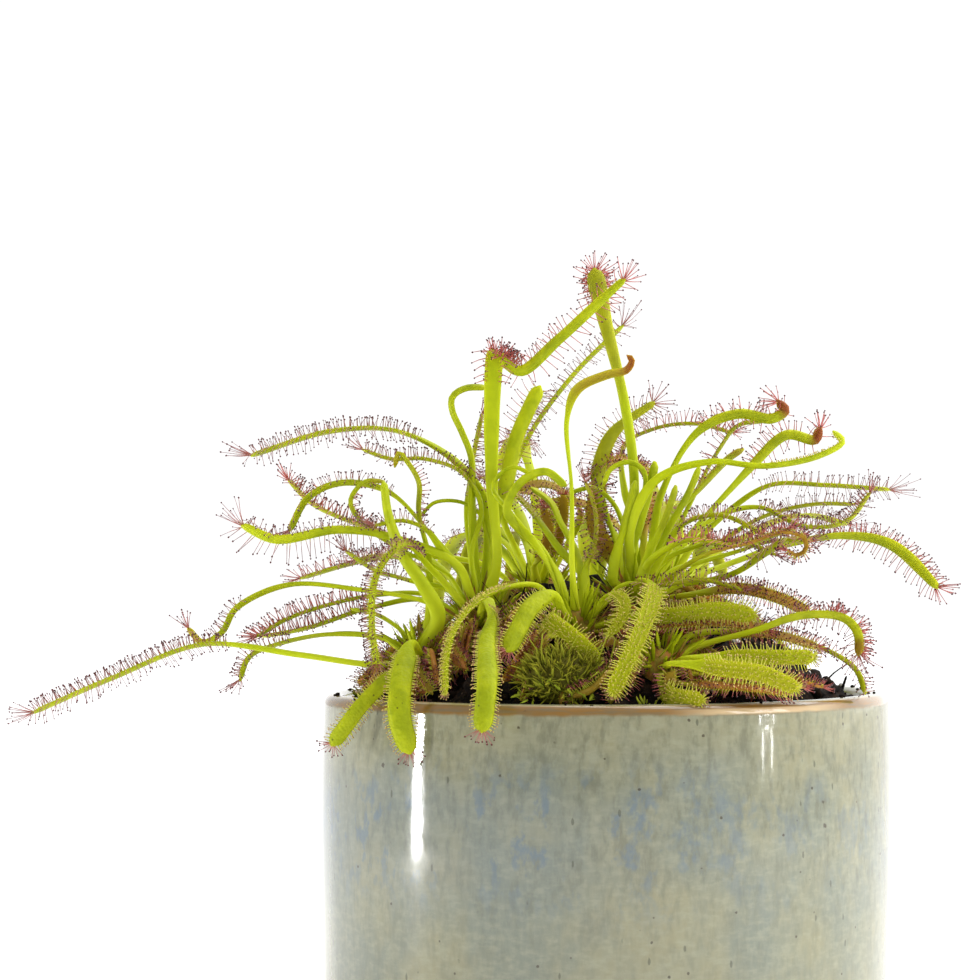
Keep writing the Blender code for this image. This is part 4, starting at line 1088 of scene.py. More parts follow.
def glaze_material(pot):
    """Celadon glaze: clouded streaks and blue patches run down the wall, brown specks, a tan
    break on the lip's outer edge and bare clay below the glaze line."""
    def build(w, place):
        x, y, height = w.node("SeparateXYZ", {0: place}).outputs
        around = w.math("SQRT", w.plus(w.times(x, x), w.times(y, y)))

        # Clouds, warmer towards the lip, with pale streaks and dabs on them.
        clouds = noise_mask(w, place, 16.0, 26.0, 0.35, 0.68)
        streaks = noise_mask(w, place, 1.0, 3.2, 0.36, 0.68, (3, 1, 7))
        dabs = noise_mask(w, place, 3.0, 1.3, 0.40, 0.72, (2, 6, 1))
        colour = w.mix(clouds, pot.glaze, pot.warm_glaze)
        colour = w.wash(w.between(height, 50.0, 66.0), 0.7, colour, pot.warm_glaze)
        colour = w.wash(streaks, 0.18, colour, pot.pale_glaze)
        colour = w.wash(dabs, 0.4, colour, pot.pale_glaze)

        # Thin dark glaze, more of it higher up the wall.
        mottle = noise_mask(w, place, 1.9, 4.6, 0.42, 0.74)
        depth = w.between(height, 14.0, 44.0, 0.25, 0.65)
        colour = w.wash(mottle, depth, colour, pot.dark_glaze)

        # Blue in a band under the lip: patches torn into threads, and a haze on the left.
        patches = noise_mask(w, place, 8.0, 10.0, 0.45, 0.56, (9, 4, 2))
        patches = w.times(patches, w.between(x, 45.0, -5.0, 0.45, 1.0))
        threads = noise_mask(w, place, 2.2, 4.4, 0.38, 0.62, (1, 8, 5))
        haze = w.times(w.between(x, 20.0, -35.0), 0.35)
        blue = w.math("MAXIMUM", w.times(patches, threads), haze)
        blue = w.times(blue, w.window(height, 22.0, 42.0, 48.0, 62.0))
        colour = w.wash(blue, pot.blue_amount, colour, pot.blue_glaze)

        # Commas, which are specks drawn out upwards, and fine and large iron specks.
        tall = w.node("VectorMath", {0: place, 1: (1, 1, 0.4)}, operation="MULTIPLY").outputs[0]
        colour = w.wash(speck_mask(w, tall, 3.0, 0.36, 0.45), 0.6, colour, pot.dark_speck)
        marks = w.math("MAXIMUM", speck_mask(w, place, 3.2, 0.38, 0.35),
                       speck_mask(w, place, 8.0, 0.62, 0.3))
        colour = w.wash(marks, 0.8, colour, pot.speck)

        # The lip, by heights less its own rise: tan outside where the glaze breaks, worn in
        # places, pale on the crest, with a painted highlight on its front right, and specked with
        # soil.
        rim = w.number("rim")
        level = w.less(height, rim)
        ragged = noise_mask(w, place, 5.0, 3.0, 0.2, 0.8)
        lower = w.less(w.less(height, w.times(ragged, 0.5)), rim)
        crest = w.math("MAXIMUM", w.between(level, 67.9, 67.6),
                       w.between(x, -20.0, -45.0, 0.0, 0.8))
        edge = w.times(w.between(lower, 65.2, 66.0), crest)
        edge = w.times(edge, w.between(around, 56.8, 57.4))
        worn = noise_mask(w, place, 7.0, 0.7, 0.35, 0.7, (5, 5, 5))
        tan = w.wash(worn, 0.6, pot.lip, pot.dark_glaze)
        tan = w.mix(w.between(level, 67.5, 67.9), tan, pot.pale_lip_and_highlight)
        # Painted highlight: the lip's front right, where a lamp's reflection falls, is washed
        # towards the pale colour.
        painted_highlight = w.times(w.window(x, 8.0, 22.0, 38.0, 48.0),
                        w.window(level, 65.6, 66.0, 66.8, 67.2))
        tan = w.wash(painted_highlight, 0.9, tan, pot.pale_lip_and_highlight)
        soil = w.times(speck_mask(w, place, 2.6, 0.55, 0.3), w.between(level, 66.5, 67.1))
        colour = w.mix(soil, w.mix(edge, colour, tan), pot.speck)

        # Bare clay below the glaze line, and tan where the glaze thins just above it.
        bare = w.less(1.0, w.number("glazed"))
        colour = w.mix(bare, colour, w.mix(mottle, pot.clay, pot.lip))
        above = w.times(w.between(level, 12.0, 8.5), noise_mask(w, place, 3.0, 5.0, 0.35, 0.6))
        colour = w.wash(above, 0.6, colour, pot.lip)
        rough = w.plus(w.times(bare, 0.6), w.plus(0.07, w.times(streaks, 0.05)))
        return {"Base Color": colour, "Roughness": rough, "Normal": grain(w, place, 2.6, 0.06),
                "IOR": 1.5, "Coat Weight": 0.35, "Coat Roughness": 0.03}
    return finish_material("celadon_glaze", build)


def peat_material(plant):
    """Near-black peat with brown crumbs and grey dust."""
    def build(w, place):
        brown = noise_mask(w, place, 1.4, 1.4, 0.42, 0.75)
        colour = w.mix(brown, plant.peat, plant.peat_brown)
        colour = w.wash(speck_mask(w, place, 1.9, 0.3, 0.25), 0.35, colour, PEAT_DUST)
        return {"Base Color": colour, "Roughness": 0.95, "Normal": grain(w, place, 0.5, 0.9),
                "Specular IOR Level": 0.12}
    return finish_material("crumbly_peat", build)


def perlite_material():
    """White foamed grit with grey pores."""
    def build(w, place):
        colour = w.wash(speck_mask(w, place, 0.5, 0.14, 0.7), 0.5, PERLITE, PERLITE_PORE)
        return {"Base Color": colour, "Roughness": 0.7, "Normal": grain(w, place, 0.3, 0.7)}
    return finish_material("perlite_grain", build)


def moss_material(plant):
    """Moss: dark at the foot of each leaflet, fresh green at its tip."""
    def build(w, place):
        tip = w.between(w.number("along"), 0.1, 0.9)
        colour = w.wash(tip, 0.8, plant.moss_dark, plant.moss_light)
        patches = noise_mask(w, place, 3.0, 3.0, 0.35, 0.65)
        colour = w.wash(patches, 0.4, colour, plant.moss_dark)
        colour = w.mix(w.number("fresh"), colour, plant.moss_fresh)
        return {"Base Color": colour, "Roughness": 0.6, "Normal": grain(w, place, 0.6, 0.5),
                "Specular IOR Level": 0.15}
    return finish_material("moss_leaflet", build)


def crown_material(plant):
    """Crown: brown-green with red blotches, its living scales green with lighter tips."""
    def build(w, place):
        blotch = noise_mask(w, place, 1.6, 3.0, 0.35, 0.7)
        colour = w.mix(blotch, plant.crown, plant.crown_red)
        living = w.mix(w.between(w.number("along"), 0.1, 0.7), plant.shaded_stalk, plant.stalk)
        colour = w.mix(w.number("living"), colour, living)
        return {"Base Color": colour, "Roughness": 0.65, "Normal": grain(w, place, 0.7, 0.6),
                "Specular IOR Level": 0.15}
    return finish_material("crown_scale", build)


def leaf_material(plant):
    """Leaf: lime stalk, paler at its foot with painted light, green underside with dark dots,
    reddish upper face, dry ones brown.
    """
    def build(w, place):
        along, blade, upper, tone, coil, dry, dotted = (w.number(name) for name in (
            "along", "blade", "upper", "tone", "coil", "dry", "dotted"))
        clouds = noise_mask(w, place, 5.0, 5.0, 0.35, 0.65)
        mottle = noise_mask(w, place, 1.1, 1.1, 0.35, 0.65)
        stalk = w.mix(w.math("MAXIMUM", w.times(clouds, 0.65), tone),
                      plant.stalk, plant.shaded_stalk)
        # Painted light: the stalk grows paler towards its foot in the crown, standing in for light
        # shining through the clump.
        stalk = w.mix(w.between(along, 0.40, 0.05), stalk, plant.stalk_foot_painted_light)
        shade = w.plus(w.times(clouds, 0.75), w.times(mottle, 0.2))
        under = w.mix(shade, plant.under, plant.under_dark)
        face = w.mix(tone, plant.face, plant.face_red)
        face = w.wash(mottle, 0.12, face, plant.under_dark)
        colour = w.mix(w.between(upper, -0.1, 0.5), under, face)
        colour = w.wash(tone, 0.75, colour, plant.olive)
        colour = w.mix(blade, stalk, colour)
        dots = w.times(speck_mask(w, place, 1.6, 0.25, 0.42), blade)
        colour = w.wash(dots, dotted, colour, plant.dot)
        coiled = w.times(w.between(along, 0.90, 0.95), coil)
        colour = w.wash(coiled, 0.9, colour, plant.coil)
        withered = w.mix(clouds, plant.withered, plant.withered_dark)
        colour = w.wash(dry, w.between(blade, -0.6, 1.0), colour, withered)
        strength = w.plus(0.01, w.times(w.times(dotted, dotted), 0.5))
        normal = grain(w, place, 0.65, strength, pebbles_group)
        return {"Base Color": colour, "Roughness": w.plus(0.48, w.times(clouds, 0.12)),
                "Normal": normal, "Specular IOR Level": 0.14, "Subsurface Weight": 0.45,
                "Subsurface Scale": 0.003, "Subsurface Radius": (0.95, 0.95, 0.15)}
    return finish_material("leaf_flesh", build)


def tentacle_material(plant):
    """Tentacle: yellow-green to red foot, mauve stalk and a dark wet gland with patches of painted
    light in red.
    """
    def build(w, place):
        reach, red, chance, green = (w.number(name) for name in (
            "reach", "red", "chance", "green"))
        redder = w.plus(w.times(red, 0.75), w.times(chance, 0.25))
        lower = w.mix(redder, plant.tentacle_red, plant.tentacle_pink)
        end = w.mix(redder, plant.tentacle_end, plant.tentacle_pink)
        colour = w.mix(w.between(reach, 0.2, 0.8), lower, end)
        colour = w.mix(w.between(w.less(reach, green), 0.15, -0.15), colour,
                       plant.tentacle_foot)
        # Painted light: noise patches of a redder colour that stands for the gland's lit side.
        painted_lit_patches = w.node("TexNoise", {"Vector": place, "Scale": 3.0}).outputs["Fac"]
        head = w.mix(painted_lit_patches, plant.gland, plant.gland_painted_lit)
        head = w.mix(w.between(green, 0.5, 0.9), head, plant.pale_gland)
        colour = w.mix(w.between(reach, 1.1, 1.5), colour, head)
        return {"Base Color": colour, "Roughness": w.between(reach, 1.1, 1.5, 0.45, 0.12)}
    return finish_material("tentacle_stalk", build)


def colour_property(name, description, default):
    """A colour of a property group."""
    return FloatVectorProperty(name=name, description=description, default=default,
                               subtype="COLOR", size=3, min=0, max=1)


class SundewPot(bpy.types.PropertyGroup):
    """Colours and shape of the glazed pot."""

    glaze: colour_property("Glaze", "Cool celadon base", (0.195, 0.215, 0.165))
    warm_glaze: colour_property("Warm glaze", "Warmer clouds in it", (0.285, 0.27, 0.155))
    pale_glaze: colour_property("Pale streaks", "Thick runs of glaze", (0.36, 0.37, 0.255))
    dark_glaze: colour_property("Dark mottle", "Thin olive glaze", (0.14, 0.14, 0.09))
    blue_glaze: colour_property("Blue patches", "Cobalt blush under the lip", (0.125, 0.175, 0.215))
    speck: colour_property("Specks", "Iron specks", (0.055, 0.04, 0.025))
    dark_speck: colour_property("Dark commas", "Short dark runs", (0.06, 0.065, 0.04))
    lip: colour_property("Lip", "Tan break on the lip", (0.26, 0.135, 0.03))
    # Pale top line of the lip, also the colour of the painted highlight on its front right.
    pale_lip_and_highlight: colour_property("Pale lip", "Lighter break on the lip", (0.66, 0.48, 0.26))
    clay: colour_property("Clay", "Bare foot", (0.30, 0.17, 0.09))
    blue_amount: FloatProperty(name="Blue", description="Strength of the blue patches",
                               default=0.8, min=0, max=1, subtype="FACTOR")
    glaze_line: FloatProperty(name="Glaze line", description="Height where the glaze ends",
                              default=9.0 * MM, min=0, max=0.03, unit="LENGTH")
    lip_rise: FloatProperty(name="Lip rise", description="How far the thrown lip stands up",
                            default=1.0 * MM, min=0, max=0.002, unit="LENGTH", precision=5)
    hand_wobble: FloatProperty(name="Wobble", description="Unevenness of the thrown wall",
                               default=0.12 * MM, min=0, max=0.001, unit="LENGTH", precision=5)


class SundewPlant(bpy.types.PropertyGroup):
    """Colours and growth of the plant and the peat."""

    stalk: colour_property("Stalk", "Lime leaf stalk", (0.45, 0.52, 0.004))
    shaded_stalk: colour_property("Shaded stalk", "Its darker parts", (0.34, 0.41, 0.003))
    # Pale foot of the stalk, brightened as painted light for the clump's shaded middle.
    stalk_foot_painted_light: colour_property("Stalk foot", "Pale foot in the crown", (0.58, 0.66, 0.02))
    under: colour_property("Underside", "Underside of the blade", (0.44, 0.50, 0.008))
    under_dark: colour_property("Dark underside", "Its darker clouds", (0.27, 0.335, 0.004))
    face: colour_property("Face", "Upper face of the blade", (0.42, 0.49, 0.006))
    face_red: colour_property("Red face", "Upper face of an older blade", (0.40, 0.22, 0.02))
    olive: colour_property("Olive", "Tone of a shaded blade", (0.24, 0.20, 0.015))
    dot: colour_property("Dots", "Dots on the underside", (0.05, 0.045, 0.006))
    coil: colour_property("Coil", "Coiled young tip", (0.22, 0.03, 0.015))
    withered: colour_property("Withered", "Dry leaf", (0.54, 0.22, 0.05))
    withered_dark: colour_property("Dark withered", "Its dark parts", (0.32, 0.09, 0.025))
    tentacle_foot: colour_property("Tentacle foot", "Where it leaves the leaf",
                                   (0.66, 0.66, 0.06))
    tentacle_red: colour_property("Tentacle red", "Its lower half", (0.33, 0.115, 0.085))
    tentacle_pink: colour_property("Tentacle pink", "Red leaves' stalks", (0.60, 0.14, 0.12))
    tentacle_end: colour_property("Tentacle end", "Below the gland", (0.17, 0.11, 0.13))
    gland: colour_property("Gland", "Dark gland", (0.035, 0.008, 0.012))
    # The gland's lit side, painted in patches as painted light.
    gland_painted_lit: colour_property("Red gland", "Its lit side", (0.16, 0.015, 0.02))
    pale_gland: colour_property("Pale gland", "Gland of a bristly blade", (0.72, 0.56, 0.15))
    peat: colour_property("Peat", "Wet peat", (0.006, 0.0045, 0.004))
    peat_brown: colour_property("Brown peat", "Drier crumbs", (0.035, 0.019, 0.011))
    moss_dark: colour_property("Dark moss", "Foot of the moss", (0.125, 0.115, 0.010))
    moss_light: colour_property("Light moss", "Moss tips", (0.42, 0.38, 0.022))
    moss_fresh: colour_property("Fresh moss", "Youngest leaflets", (0.42, 0.52, 0.03))
    crown: colour_property("Crown", "Crown's body", (0.30, 0.25, 0.03))
    crown_red: colour_property("Crown red", "Its red parts", (0.44, 0.16, 0.04))
    density: FloatProperty(name="Tentacle density", description="Tentacles for each length",
                           default=1.0, min=0.2, max=2.0)
    seed: IntProperty(name="Seed", description="Start of all random draws", default=11, min=0)


class SundewStage(bpy.types.PropertyGroup):
    """Floor, light and camera."""

    floor: colour_property("Floor", "Plain pale floor", (0.92, 0.92, 0.92))
    sky: FloatProperty(name="Soft light", description="Strength of the light all round",
                       default=1.0, min=0, max=4)
    lens: FloatProperty(name="Lens", description="Focal length", default=112.9, min=20,
                        max=300, unit="CAMERA")


def shared_material(key, build, *given):
    """The material of that name, built at its first use."""
    return bpy.data.materials.get(key) or build(*given)


class SUNDEW_OT_pot(bpy.types.Operator):
    """Turn the glazed pot"""

    bl_idname = "sundew.pot"
    bl_label = "Glazed pot"

    # A profile of radius and height runs from under the foot up the wall, over the round lip
    # and down the inside. It is carried round the axis, the wall uneven by layered noise, the
    # bare clay 0.2 lower than the glaze, and the upper wall lifted more and more to the lip.
    def execute(self, context):
        pot = context.scene.sundew_pot
        lip = POT_WALL / 2
        lip_centre = (float(pot_radius(POT_HEIGHT - lip)) - lip, POT_HEIGHT - lip)
        foot = np.radians(np.linspace(-90, 0, 7))
        line = pot.glaze_line / MM
        wall = np.concatenate([
            np.linspace(2.6, line - 1.6, 6), np.linspace(line - 1.2, line + 1.6, 12),
            np.linspace(line + 3, POT_HEIGHT - lip - 1, 30)])
        turn = np.radians(np.linspace(0, 180, 25))
        inside = np.linspace(POT_HEIGHT - lip - 2, POT_FLOOR + 3, 8)
        radius = np.concatenate([
            [40.0, 54.0], float(pot_radius(2.0)) - 2 + 2 * np.cos(foot), pot_radius(wall),
            lip_centre[0] + lip * np.cos(turn), np.full(len(inside), POT_INNER),
            [POT_INNER - 3, 20.0]])
        height = np.concatenate([
            [0.0, 0.0], 2 + 2 * np.sin(foot), wall, lip_centre[1] + lip * np.sin(turn),
            inside, [POT_FLOOR, POT_FLOOR]])
        angle = round_angles(POT_SIDES)
        ring = np.stack([np.cos(angle), np.sin(angle)], -1)
        spot = np.concatenate([
            np.broadcast_to(ring[None] * 2.2, (len(height), POT_SIDES, 2)),
            np.broadcast_to(height[:, None, None] / 22, (len(height), POT_SIDES, 1))], -1)
        outside = (radius > POT_INNER + 1)[:, None]
        wavy = line + 0.9 * layered_noise(spot * (2.5, 2.5, 0), 3, 2.0)
        glazed = smoothstep(-0.35, 0.35, height[:, None] - wavy)
        glazed = np.where(outside & (height[:, None] < 40), glazed, 1.0)
        glazed = np.where(height[:, None] < 0.01, 0.0, glazed)
        wobble = pot.hand_wobble / MM * layered_noise(spot, 2, 1.0)
        run = 0.10 * lattice_noise(spot * (4.0, 4.0, 0.6), 3.0) * glazed
        grow = np.where(outside & (height[:, None] > 1.5), wobble + run + 0.2 * (glazed - 1), 0)
        lifted = pot.lip_rise / MM * lip_share(ring[:, 0])
        lifted = lifted * smoothstep(30, POT_HEIGHT, height)[:, None]
        rings = np.concatenate([
            ring[None] * (radius[:, None] + grow)[..., None],
            (height[:, None] + lifted)[..., None]], -1)
        surface = Surface()
        surface.tubes(rings[None], np.array([[0, 0, 0.0]]), np.array([[0, 0, POT_FLOOR]]),
                      glazed=glazed[None], rim=lifted[None])
        material = shared_material("celadon_glaze", glaze_material, pot)
        surface.make("glazed_pot", material, "glazed_pot", ["pot"])
        return {"FINISHED"}


class SUNDEW_OT_peat(bpy.types.Operator):
    """Heap up the peat with its crumbs, fibres and perlite"""

    bl_idname = "sundew.peat"
    bl_label = "Peat"

    # The mound is a profile of radius carried round the axis: up the inside of the wall, and
    # then inwards at the height of the rough peat.
    def execute(self, context):
        plant = context.scene.sundew_plant
        rng = np.random.default_rng(plant.seed)
        material = shared_material("crumbly_peat", peat_material, plant)
        floor = POT_FLOOR + 0.2
        sunk = np.array([floor, floor, POT_FLOOR + 2.5, 40])
        radius = np.concatenate([[30, PEAT_REACH - 2, PEAT_REACH, PEAT_REACH],
                                 np.linspace(PEAT_REACH, 1.0, 74)])
        angle = round_angles(PEAT_SIDES)
        x, y = radius[:, None] * np.cos(angle), radius[:, None] * np.sin(angle)
        z = peat_height(x, y) + peat_rough(x, y)
        z[:len(sunk)] = sunk[:, None]
        mound = Surface()
        mound.tubes(np.stack([x, y, z], -1)[None], np.array([[0, 0, floor]]),
                    np.array([[0, 0, PEAT_EDGE + PEAT_RISE - 0.5]]))
        mound.make("peat_mound", material, "peat", ["peat"])

        crumbs = Surface()
        x, y, z = strewn(rng, CRUMBS, 0, 0.985)
        sizes = rng.gamma(2.2, 0.38, CRUMBS).clip(0.3, 2.4)
        lumps(crumbs, np.stack([x, y, z + 0.2 * sizes], -1), sizes, rng)
        lumps(crumbs, on_lip(rng, SPILT_CRUMBS, context.scene.sundew_pot.lip_rise / MM),
              rng.uniform(0.2, 0.6, SPILT_CRUMBS), rng)
        pick = rng.choice(np.flatnonzero(np.hypot(x, y) < 0.85 * PEAT_REACH), FIBRES)
        out = unit(rng.normal(size=(FIBRES, 3)) + (0, 0, 0.25))
        strands(crumbs, np.stack([x[pick], y[pick], z[pick] + 0.2], -1), out,
                rng.uniform(2.5, 7, FIBRES), rng.uniform(0.08, 0.22, FIBRES), 0.4, rng)
        strands(crumbs, np.array([TWIG]), unit(np.array([[0.3, 0, 1.0]])), np.array([6.0]),
                np.array([0.45]), 0.08, rng)
        crumbs.make("peat_crumbs", material, "peat")

        grit = Surface()
        x, y, z = strewn(rng, PERLITE_GRAINS, 0.15, 0.97)
        lumps(grit, np.stack([x, y, z + 0.4], -1), rng.uniform(0.4, 1.1, PERLITE_GRAINS), rng,
              rough=0.2)
        grit.make("perlite_grit", shared_material("perlite_grain", perlite_material), "peat")
        return {"FINISHED"}


def leaflet_cushion(surface, rng, centre, radii, count, length, width, loose=0.35, fresh=0.0,
                    lowest=-0.15):
    """Adds leaflets that stand out all over the upper part of an ellipsoid."""
    out = scattered(rng, count, lowest, 1)
    roots = np.asarray(centre) + out * radii * 0.92
    out = unit(out + (0, 0, 0.55) + loose * rng.normal(size=(count, 3)))
    up = unit(np.cross(out, rng.normal(size=(count, 3))))
    scales(surface, roots, out, up, length * rng.uniform(0.6, 1.3, count),
           width * rng.uniform(0.7, 1.3, count), 0.25,
           fresh=fresh + rng.uniform(0, 0.35, count))


def lumpy_ball(surface, centre, radii, rough, seed, **numbers):
    """Adds an ellipsoid whose radius varies with layered noise of the direction."""
    centre = np.asarray(centre, float)
    out = round_grid(np.radians(np.linspace(-84, 84, 26)), round_angles(40))
    size = 1 + rough * layered_noise(out * 2.6, 3, seed)
    pole = np.array([0, 0, 1]) * radii
    surface.tubes((centre + out * radii * size[..., None])[None], (centre - pole)[None],
                  (centre + pole)[None], along=0.0, **numbers)


class SUNDEW_OT_moss(bpy.types.Operator):
    """Grow the moss tuft and the seedlings beside it"""

    bl_idname = "sundew.moss"
    bl_label = "Moss"

    def execute(self, context):
        plant = context.scene.sundew_plant
        rng = np.random.default_rng(plant.seed + 1)
        low, high = (np.array(c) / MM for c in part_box("moss"))
        centre, radii = (low + high) / 2, (high - low) / 2
        surface = Surface()
        lumpy_ball(surface, centre, radii * 0.78, 0.14, 5.0, fresh=0.0)
        leaflet_cushion(surface, rng, centre, radii * 0.85, 950, 3.2, 0.42, 0.8, lowest=-0.6)
        leaflet_cushion(surface, rng, centre - (0, 1, 3), radii * (1, 1, 0.5), 70, 2.2, 0.9, 0.8,
                        0.6)
        blades = 16
        roots = centre + rng.uniform(-1, 1, (blades, 3)) * radii * (0.8, 0.6, 0.3)
        out = unit(rng.normal(size=(blades, 3)) * (1, 0.4, 0.5) + (0, -0.5, 0.7))
        strands(surface, roots, out, rng.uniform(6, 10, blades), rng.uniform(0.16, 0.28, blades),
                0.25, rng, along=0.8, fresh=0.5)
        for x, y, count, size in SEEDLINGS:
            spot = (x, y, float(peat_height(x, y)) + 0.3)
            leaflet_cushion(surface, rng, spot, np.array([1.6, 1.6, 0.9]), count, size, 0.7,
                            fresh=0.4)
        material = shared_material("moss_leaflet", moss_material, plant)
        surface.make("moss_tuft", material, "moss", ["moss"])
        return {"FINISHED"}


class SUNDEW_OT_crowns(bpy.types.Operator):
    """Shape the crowns and the scales round them"""

    bl_idname = "sundew.crowns"
    bl_label = "Crowns"

    def execute(self, context):
        plant = context.scene.sundew_plant
        material = shared_material("crown_scale", crown_material, plant)
        for index, (name, (centre, radius)) in enumerate(CROWNS.items()):
            rng = np.random.default_rng(plant.seed + 20 + index)
            surface = Surface()
            lumpy_ball(surface, centre, np.full(3, radius * 0.7), 0.14, 11.0 + index, living=0.0)
            out = scattered(rng, CROWN_SCALES, -0.45, 0.95)
            roots = np.asarray(centre) + out * radius * 0.6
            loose = 0.3 * rng.normal(size=(CROWN_SCALES, 3))
            lean = unit(out * (0.8, 0.8, 0.45) + (0, 0, 0.75) + loose)
            living = rng.uniform(0, 1, CROWN_SCALES) < 0.45 + 0.5 * out[:, 2]
            scales(surface, roots, lean, out, rng.uniform(3.5, 7.5, CROWN_SCALES),
                   rng.uniform(0.7, 1.4, CROWN_SCALES), 0.15, living=living)
            surface.make(name + "_crown", material, "crown", ["crown_" + name])
        return {"FINISHED"}


def frame_leaves():
    """The leaves that stand for solids, as (crown, node name, Leaf)."""
    return [
        (row[1], row[0], Leaf(*row[1:], folded=row[0] in FOLDED, seed=float(i), name=row[0]))
        for i, row in enumerate(LEAVES)
    ]


def small_leaves(seed):
    """The smaller leaves of the table and the fillers, as (crown, Leaf)."""
    rng = np.random.default_rng(seed)
    grown = [(row[0], Leaf(*row, step=1.0, seed=100.0 + i))
             for i, row in enumerate(SMALL_LEAVES)]
    for crown, count, first, last, reach, rise in FILLERS:
        centre, radius = CROWNS[crown]
        bearings = np.linspace(first, last, count) + rng.uniform(-10, 10, count)
        for bearing in np.radians(bearings):
            far = reach * rng.uniform(0.75, 1.15)
            high = rise * rng.uniform(0.6, 1.3)
            turn = level_way(bearing)
            droop = rng.uniform(4, 14)
            points = [
                np.add(centre, turn * share * (radius + far) + np.array([0, 0, lift]))
                for share, lift in ((0.33, 0.75 * high + 4), (0.6, high + 5), (0.82, high + 3),
                                    (1.0, high + 3 - droop))]
            leaf = Leaf(crown, 1.8, rng.uniform(2.8, 3.6), 0.45, UP, "dark",
                        rng.uniform(0.2, 0.7), points, step=1.0, seed=bearing)
            grown.append((crown, leaf))
    return grown


def old_leaves(seed):
    """Dry leaves that hang from each crown onto the peat, as (crown, Leaf)."""
    rng = np.random.default_rng(seed)
    grown = []
    for crown, (centre, radius) in CROWNS.items():
        centre = np.array(centre, float)
        outward = math.atan2(centre[1], centre[0])
        many = 5 if centre[1] > 0 else 15
        for bearing in outward + np.radians(rng.uniform(-100, 100, many)):
            turn = level_way(bearing)
            far = rng.uniform(4, 17)
            points = []
            for share, above in ((0.3, 5.0), (0.7, 3.0), (1.0, 1.0)):
                spot = centre + turn * (radius + far * share)
                distance = np.hypot(spot[0], spot[1])
                spot[:2] *= min(1, (POT_INNER - 2.5) / distance)
                ground = float(peat_height(spot[0], spot[1]))
                points.append([spot[0], spot[1], max(ground + above + 2 * rng.uniform(), 0)])
            points[0][2] = max(points[0][2], centre[2] - 1)
            leaf = Leaf(crown, 1.4, rng.uniform(1.4, 2.6), 0.3, unit(rng.normal(size=3)),
                        "matted", 0.8, points, step=1.0, seed=bearing, dry=rng.uniform(0.1, 1))
            grown.append((crown, leaf))
    return grown


def leaf_surface(leaves, around):
    """One surface of several leaves, each with so many corners round it."""
    surface = Surface()
    for leaf in leaves:
        leaf.surface(surface, around)
    return surface


class SUNDEW_OT_leaves(bpy.types.Operator):
    """Grow the leaves"""

    bl_idname = "sundew.leaves"
    bl_label = "Leaves"

    def execute(self, context):
        plant = context.scene.sundew_plant
        material = shared_material("leaf_flesh", leaf_material, plant)
        for _, name, leaf in frame_leaves():
            leaf_surface([leaf], 12).make(name + "_blade", material, "leaf", [name])
        small, old = small_leaves(plant.seed + 2), old_leaves(plant.seed + 3)
        for crown in CROWNS:
            leaves = [leaf for owner, leaf in small if owner == crown]
            leaf_surface(leaves, 10).make(crown + "_small_leaves", material, "leaf")
            leaves = [leaf for owner, leaf in old if owner == crown]
            leaf_surface(leaves, 8).make(crown + "_dry_leaves", material, "leaf")
        return {"FINISHED"}


class SUNDEW_OT_tentacles(bpy.types.Operator):
    """Set the tentacles on the blades"""

    bl_idname = "sundew.tentacles"
    bl_label = "Tentacles"

    def execute(self, context):
        plant = context.scene.sundew_plant
        rng = np.random.default_rng(plant.seed + 4)
        material = shared_material("tentacle_stalk", tentacle_material, plant)
        live = [(crown, leaf, 1.0) for crown, _, leaf in frame_leaves()]
        live += [(crown, leaf, 0.85) for crown, leaf in small_leaves(plant.seed + 2)]
        old = [(crown, leaf, 1.0) for crown, leaf in old_leaves(plant.seed + 3)]
        for crown, (centre, _) in CROWNS.items():
            surface = Surface()
            behind = centre[1] > 0
            thinned = 0.7 if behind else 1.0
            for owned, corners in ((live, 3 if behind else 4), (old, 3)):
                grown = [leaf.tentacles(rng, plant.density * share * thinned)
                         for owner, leaf, share in owned if owner == crown]
                grown = [np.concatenate(column) for column in zip(*filter(None, grown))]
                tentacle_tubes(surface, *grown, rng, corners)
            surface.make(crown + "_tentacles", material, "leaf")
        return {"FINISHED"}


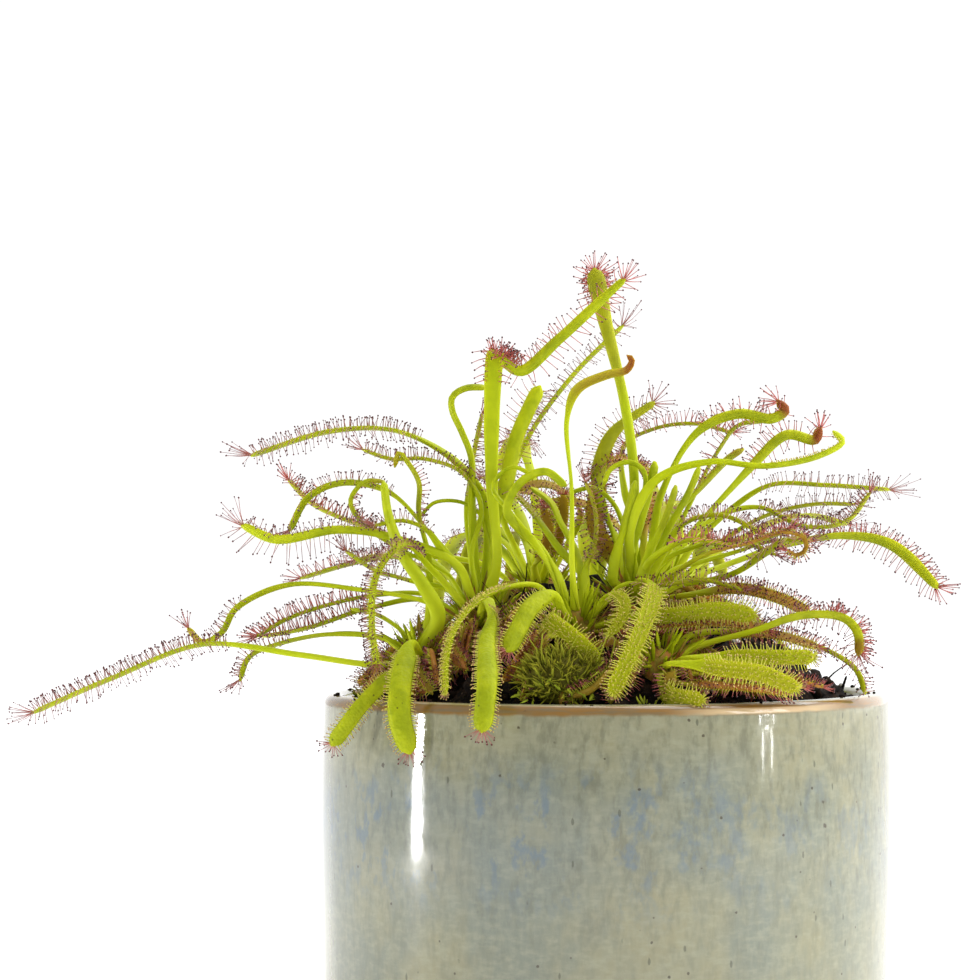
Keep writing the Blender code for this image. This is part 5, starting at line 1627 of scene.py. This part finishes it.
class SUNDEW_OT_stage(bpy.types.Operator):
    """Lay the floor and set the light and the camera"""

    bl_idname = "sundew.stage"
    bl_label = "Stage"

    def execute(self, context):
        stage, scene = context.scene.sundew_stage, context.scene
        mesh = bpy.data.meshes.new("floor")
        mesh.from_pydata([(x * FLOOR_HALF * MM, y * FLOOR_HALF * MM, 0)
                          for x, y in ((-1, -1), (1, -1), (1, 1), (-1, 1))], [], [(0, 1, 2, 3)])
        floor = bpy.data.objects.new("floor", mesh)
        scene.collection.objects.link(floor)
        mesh.materials.append(finish_material("floor", lambda w, place: {
            "Base Color": stage.floor, "Roughness": 0.7,
            "Emission Color": (1, 1, 1), "Emission Strength": 0.35}))

        world = bpy.data.worlds.new("soft_studio")
        world.use_nodes = True
        w = Wiring(world.node_tree)
        direction = w.node("TexCoord").outputs["Generated"]
        # Soft light, stronger from behind and from the right; the backdrop itself is even.
        x, y, _ = w.node("SeparateXYZ", {0: direction}).outputs
        lit = w.between(y, -0.9, 0.8, 0.32, 1.15)
        lit = w.times(lit, w.between(x, -1.0, 1.0, 0.52, 1.68))
        lit = w.times(lit, w.between(x, 0.0, 0.8, 1.0, 1.2))
        lit = w.times(lit, stage.sky)
        seen = w.node("LightPath").outputs["Is Camera Ray"]
        strength = w.node("Mix", {0: seen, 2: lit, 3: 1.05}, data_type="FLOAT")
        ground = w.node("Background", {"Color": (1, 1, 1, 1), "Strength": strength.outputs[0]})
        w.set(w.node("OutputWorld").inputs[0], ground.outputs[0])
        scene.world = world
        scene.view_settings.view_transform = "Standard"

        for lamp in LAMPS:
            self.lamp(scene, *lamp)
        for i, (x, y, z, wide, tall) in enumerate(SLITS):
            self.lamp(scene, f"right_slit_{i}", (x, y, z), SLITS_FACE, wide, tall,
                      SLIT_WATTS_PER_AREA * wide * tall)

        camera = bpy.data.cameras.new("camera")
        camera.lens, camera.sensor_width = stage.lens, 36.0
        camera.clip_start, camera.clip_end = 0.05, 20
        eye = bpy.data.objects.new("camera", camera)
        eye.location = np.array(CAMERA_AT) * MM
        eye.rotation_euler = self.turn_to(CAMERA_AT, CAMERA_AIM)
        scene.collection.objects.link(eye)
        scene.camera = eye
        return {"FINISHED"}

    @staticmethod
    def turn_to(place, aim):
        """Turn of a camera or lamp at a place so that it looks at a point, its top upwards."""
        away = np.subtract(aim, place)
        level = math.hypot(away[0], away[1])
        return (math.pi / 2 + math.atan2(away[2], level), 0, math.atan2(-away[0], away[1]))

    def lamp(self, scene, name, place, aim, wide, tall, watts):
        """A rectangular soft lamp that faces a point."""
        light = bpy.data.lights.new(name, "AREA")
        light.shape = "RECTANGLE"
        light.size, light.size_y = wide * MM, tall * MM
        light.energy = watts
        obj = bpy.data.objects.new(name, light)
        obj.location = np.array(place, float) * MM
        obj.rotation_euler = self.turn_to(place, aim)
        scene.collection.objects.link(obj)


class SUNDEW_PT_panel(bpy.types.Panel):
    """Buttons for each part of the potted sundew"""

    bl_idname = "SUNDEW_PT_panel"
    bl_label = "Potted sundew"
    bl_space_type = "VIEW_3D"
    bl_region_type = "UI"
    bl_category = "Sundew"

    def draw(self, context):
        for group in (context.scene.sundew_pot, context.scene.sundew_plant,
                      context.scene.sundew_stage):
            box = self.layout.box()
            for key in group.__annotations__:
                box.prop(group, key)
        for operator in OPERATORS:
            self.layout.operator(operator.bl_idname)


GROUPS = (("sundew_pot", SundewPot), ("sundew_plant", SundewPlant), ("sundew_stage", SundewStage))
OPERATORS = (SUNDEW_OT_stage, SUNDEW_OT_pot, SUNDEW_OT_peat, SUNDEW_OT_moss, SUNDEW_OT_crowns,
             SUNDEW_OT_leaves, SUNDEW_OT_tentacles)
CLASSES = (*(group for _, group in GROUPS), *OPERATORS, SUNDEW_PT_panel)


def register():
    for each in CLASSES:
        bpy.utils.register_class(each)
    for name, group in GROUPS:
        setattr(bpy.types.Scene, name, PointerProperty(type=group))


def unregister():
    for name, _ in GROUPS:
        delattr(bpy.types.Scene, name)
    for each in reversed(CLASSES):
        bpy.utils.unregister_class(each)


def main():
    register()
    for operator in OPERATORS:
        group, name = operator.bl_idname.split(".")
        getattr(getattr(bpy.ops, group), name)()


if __name__ == "__main__":
    main()
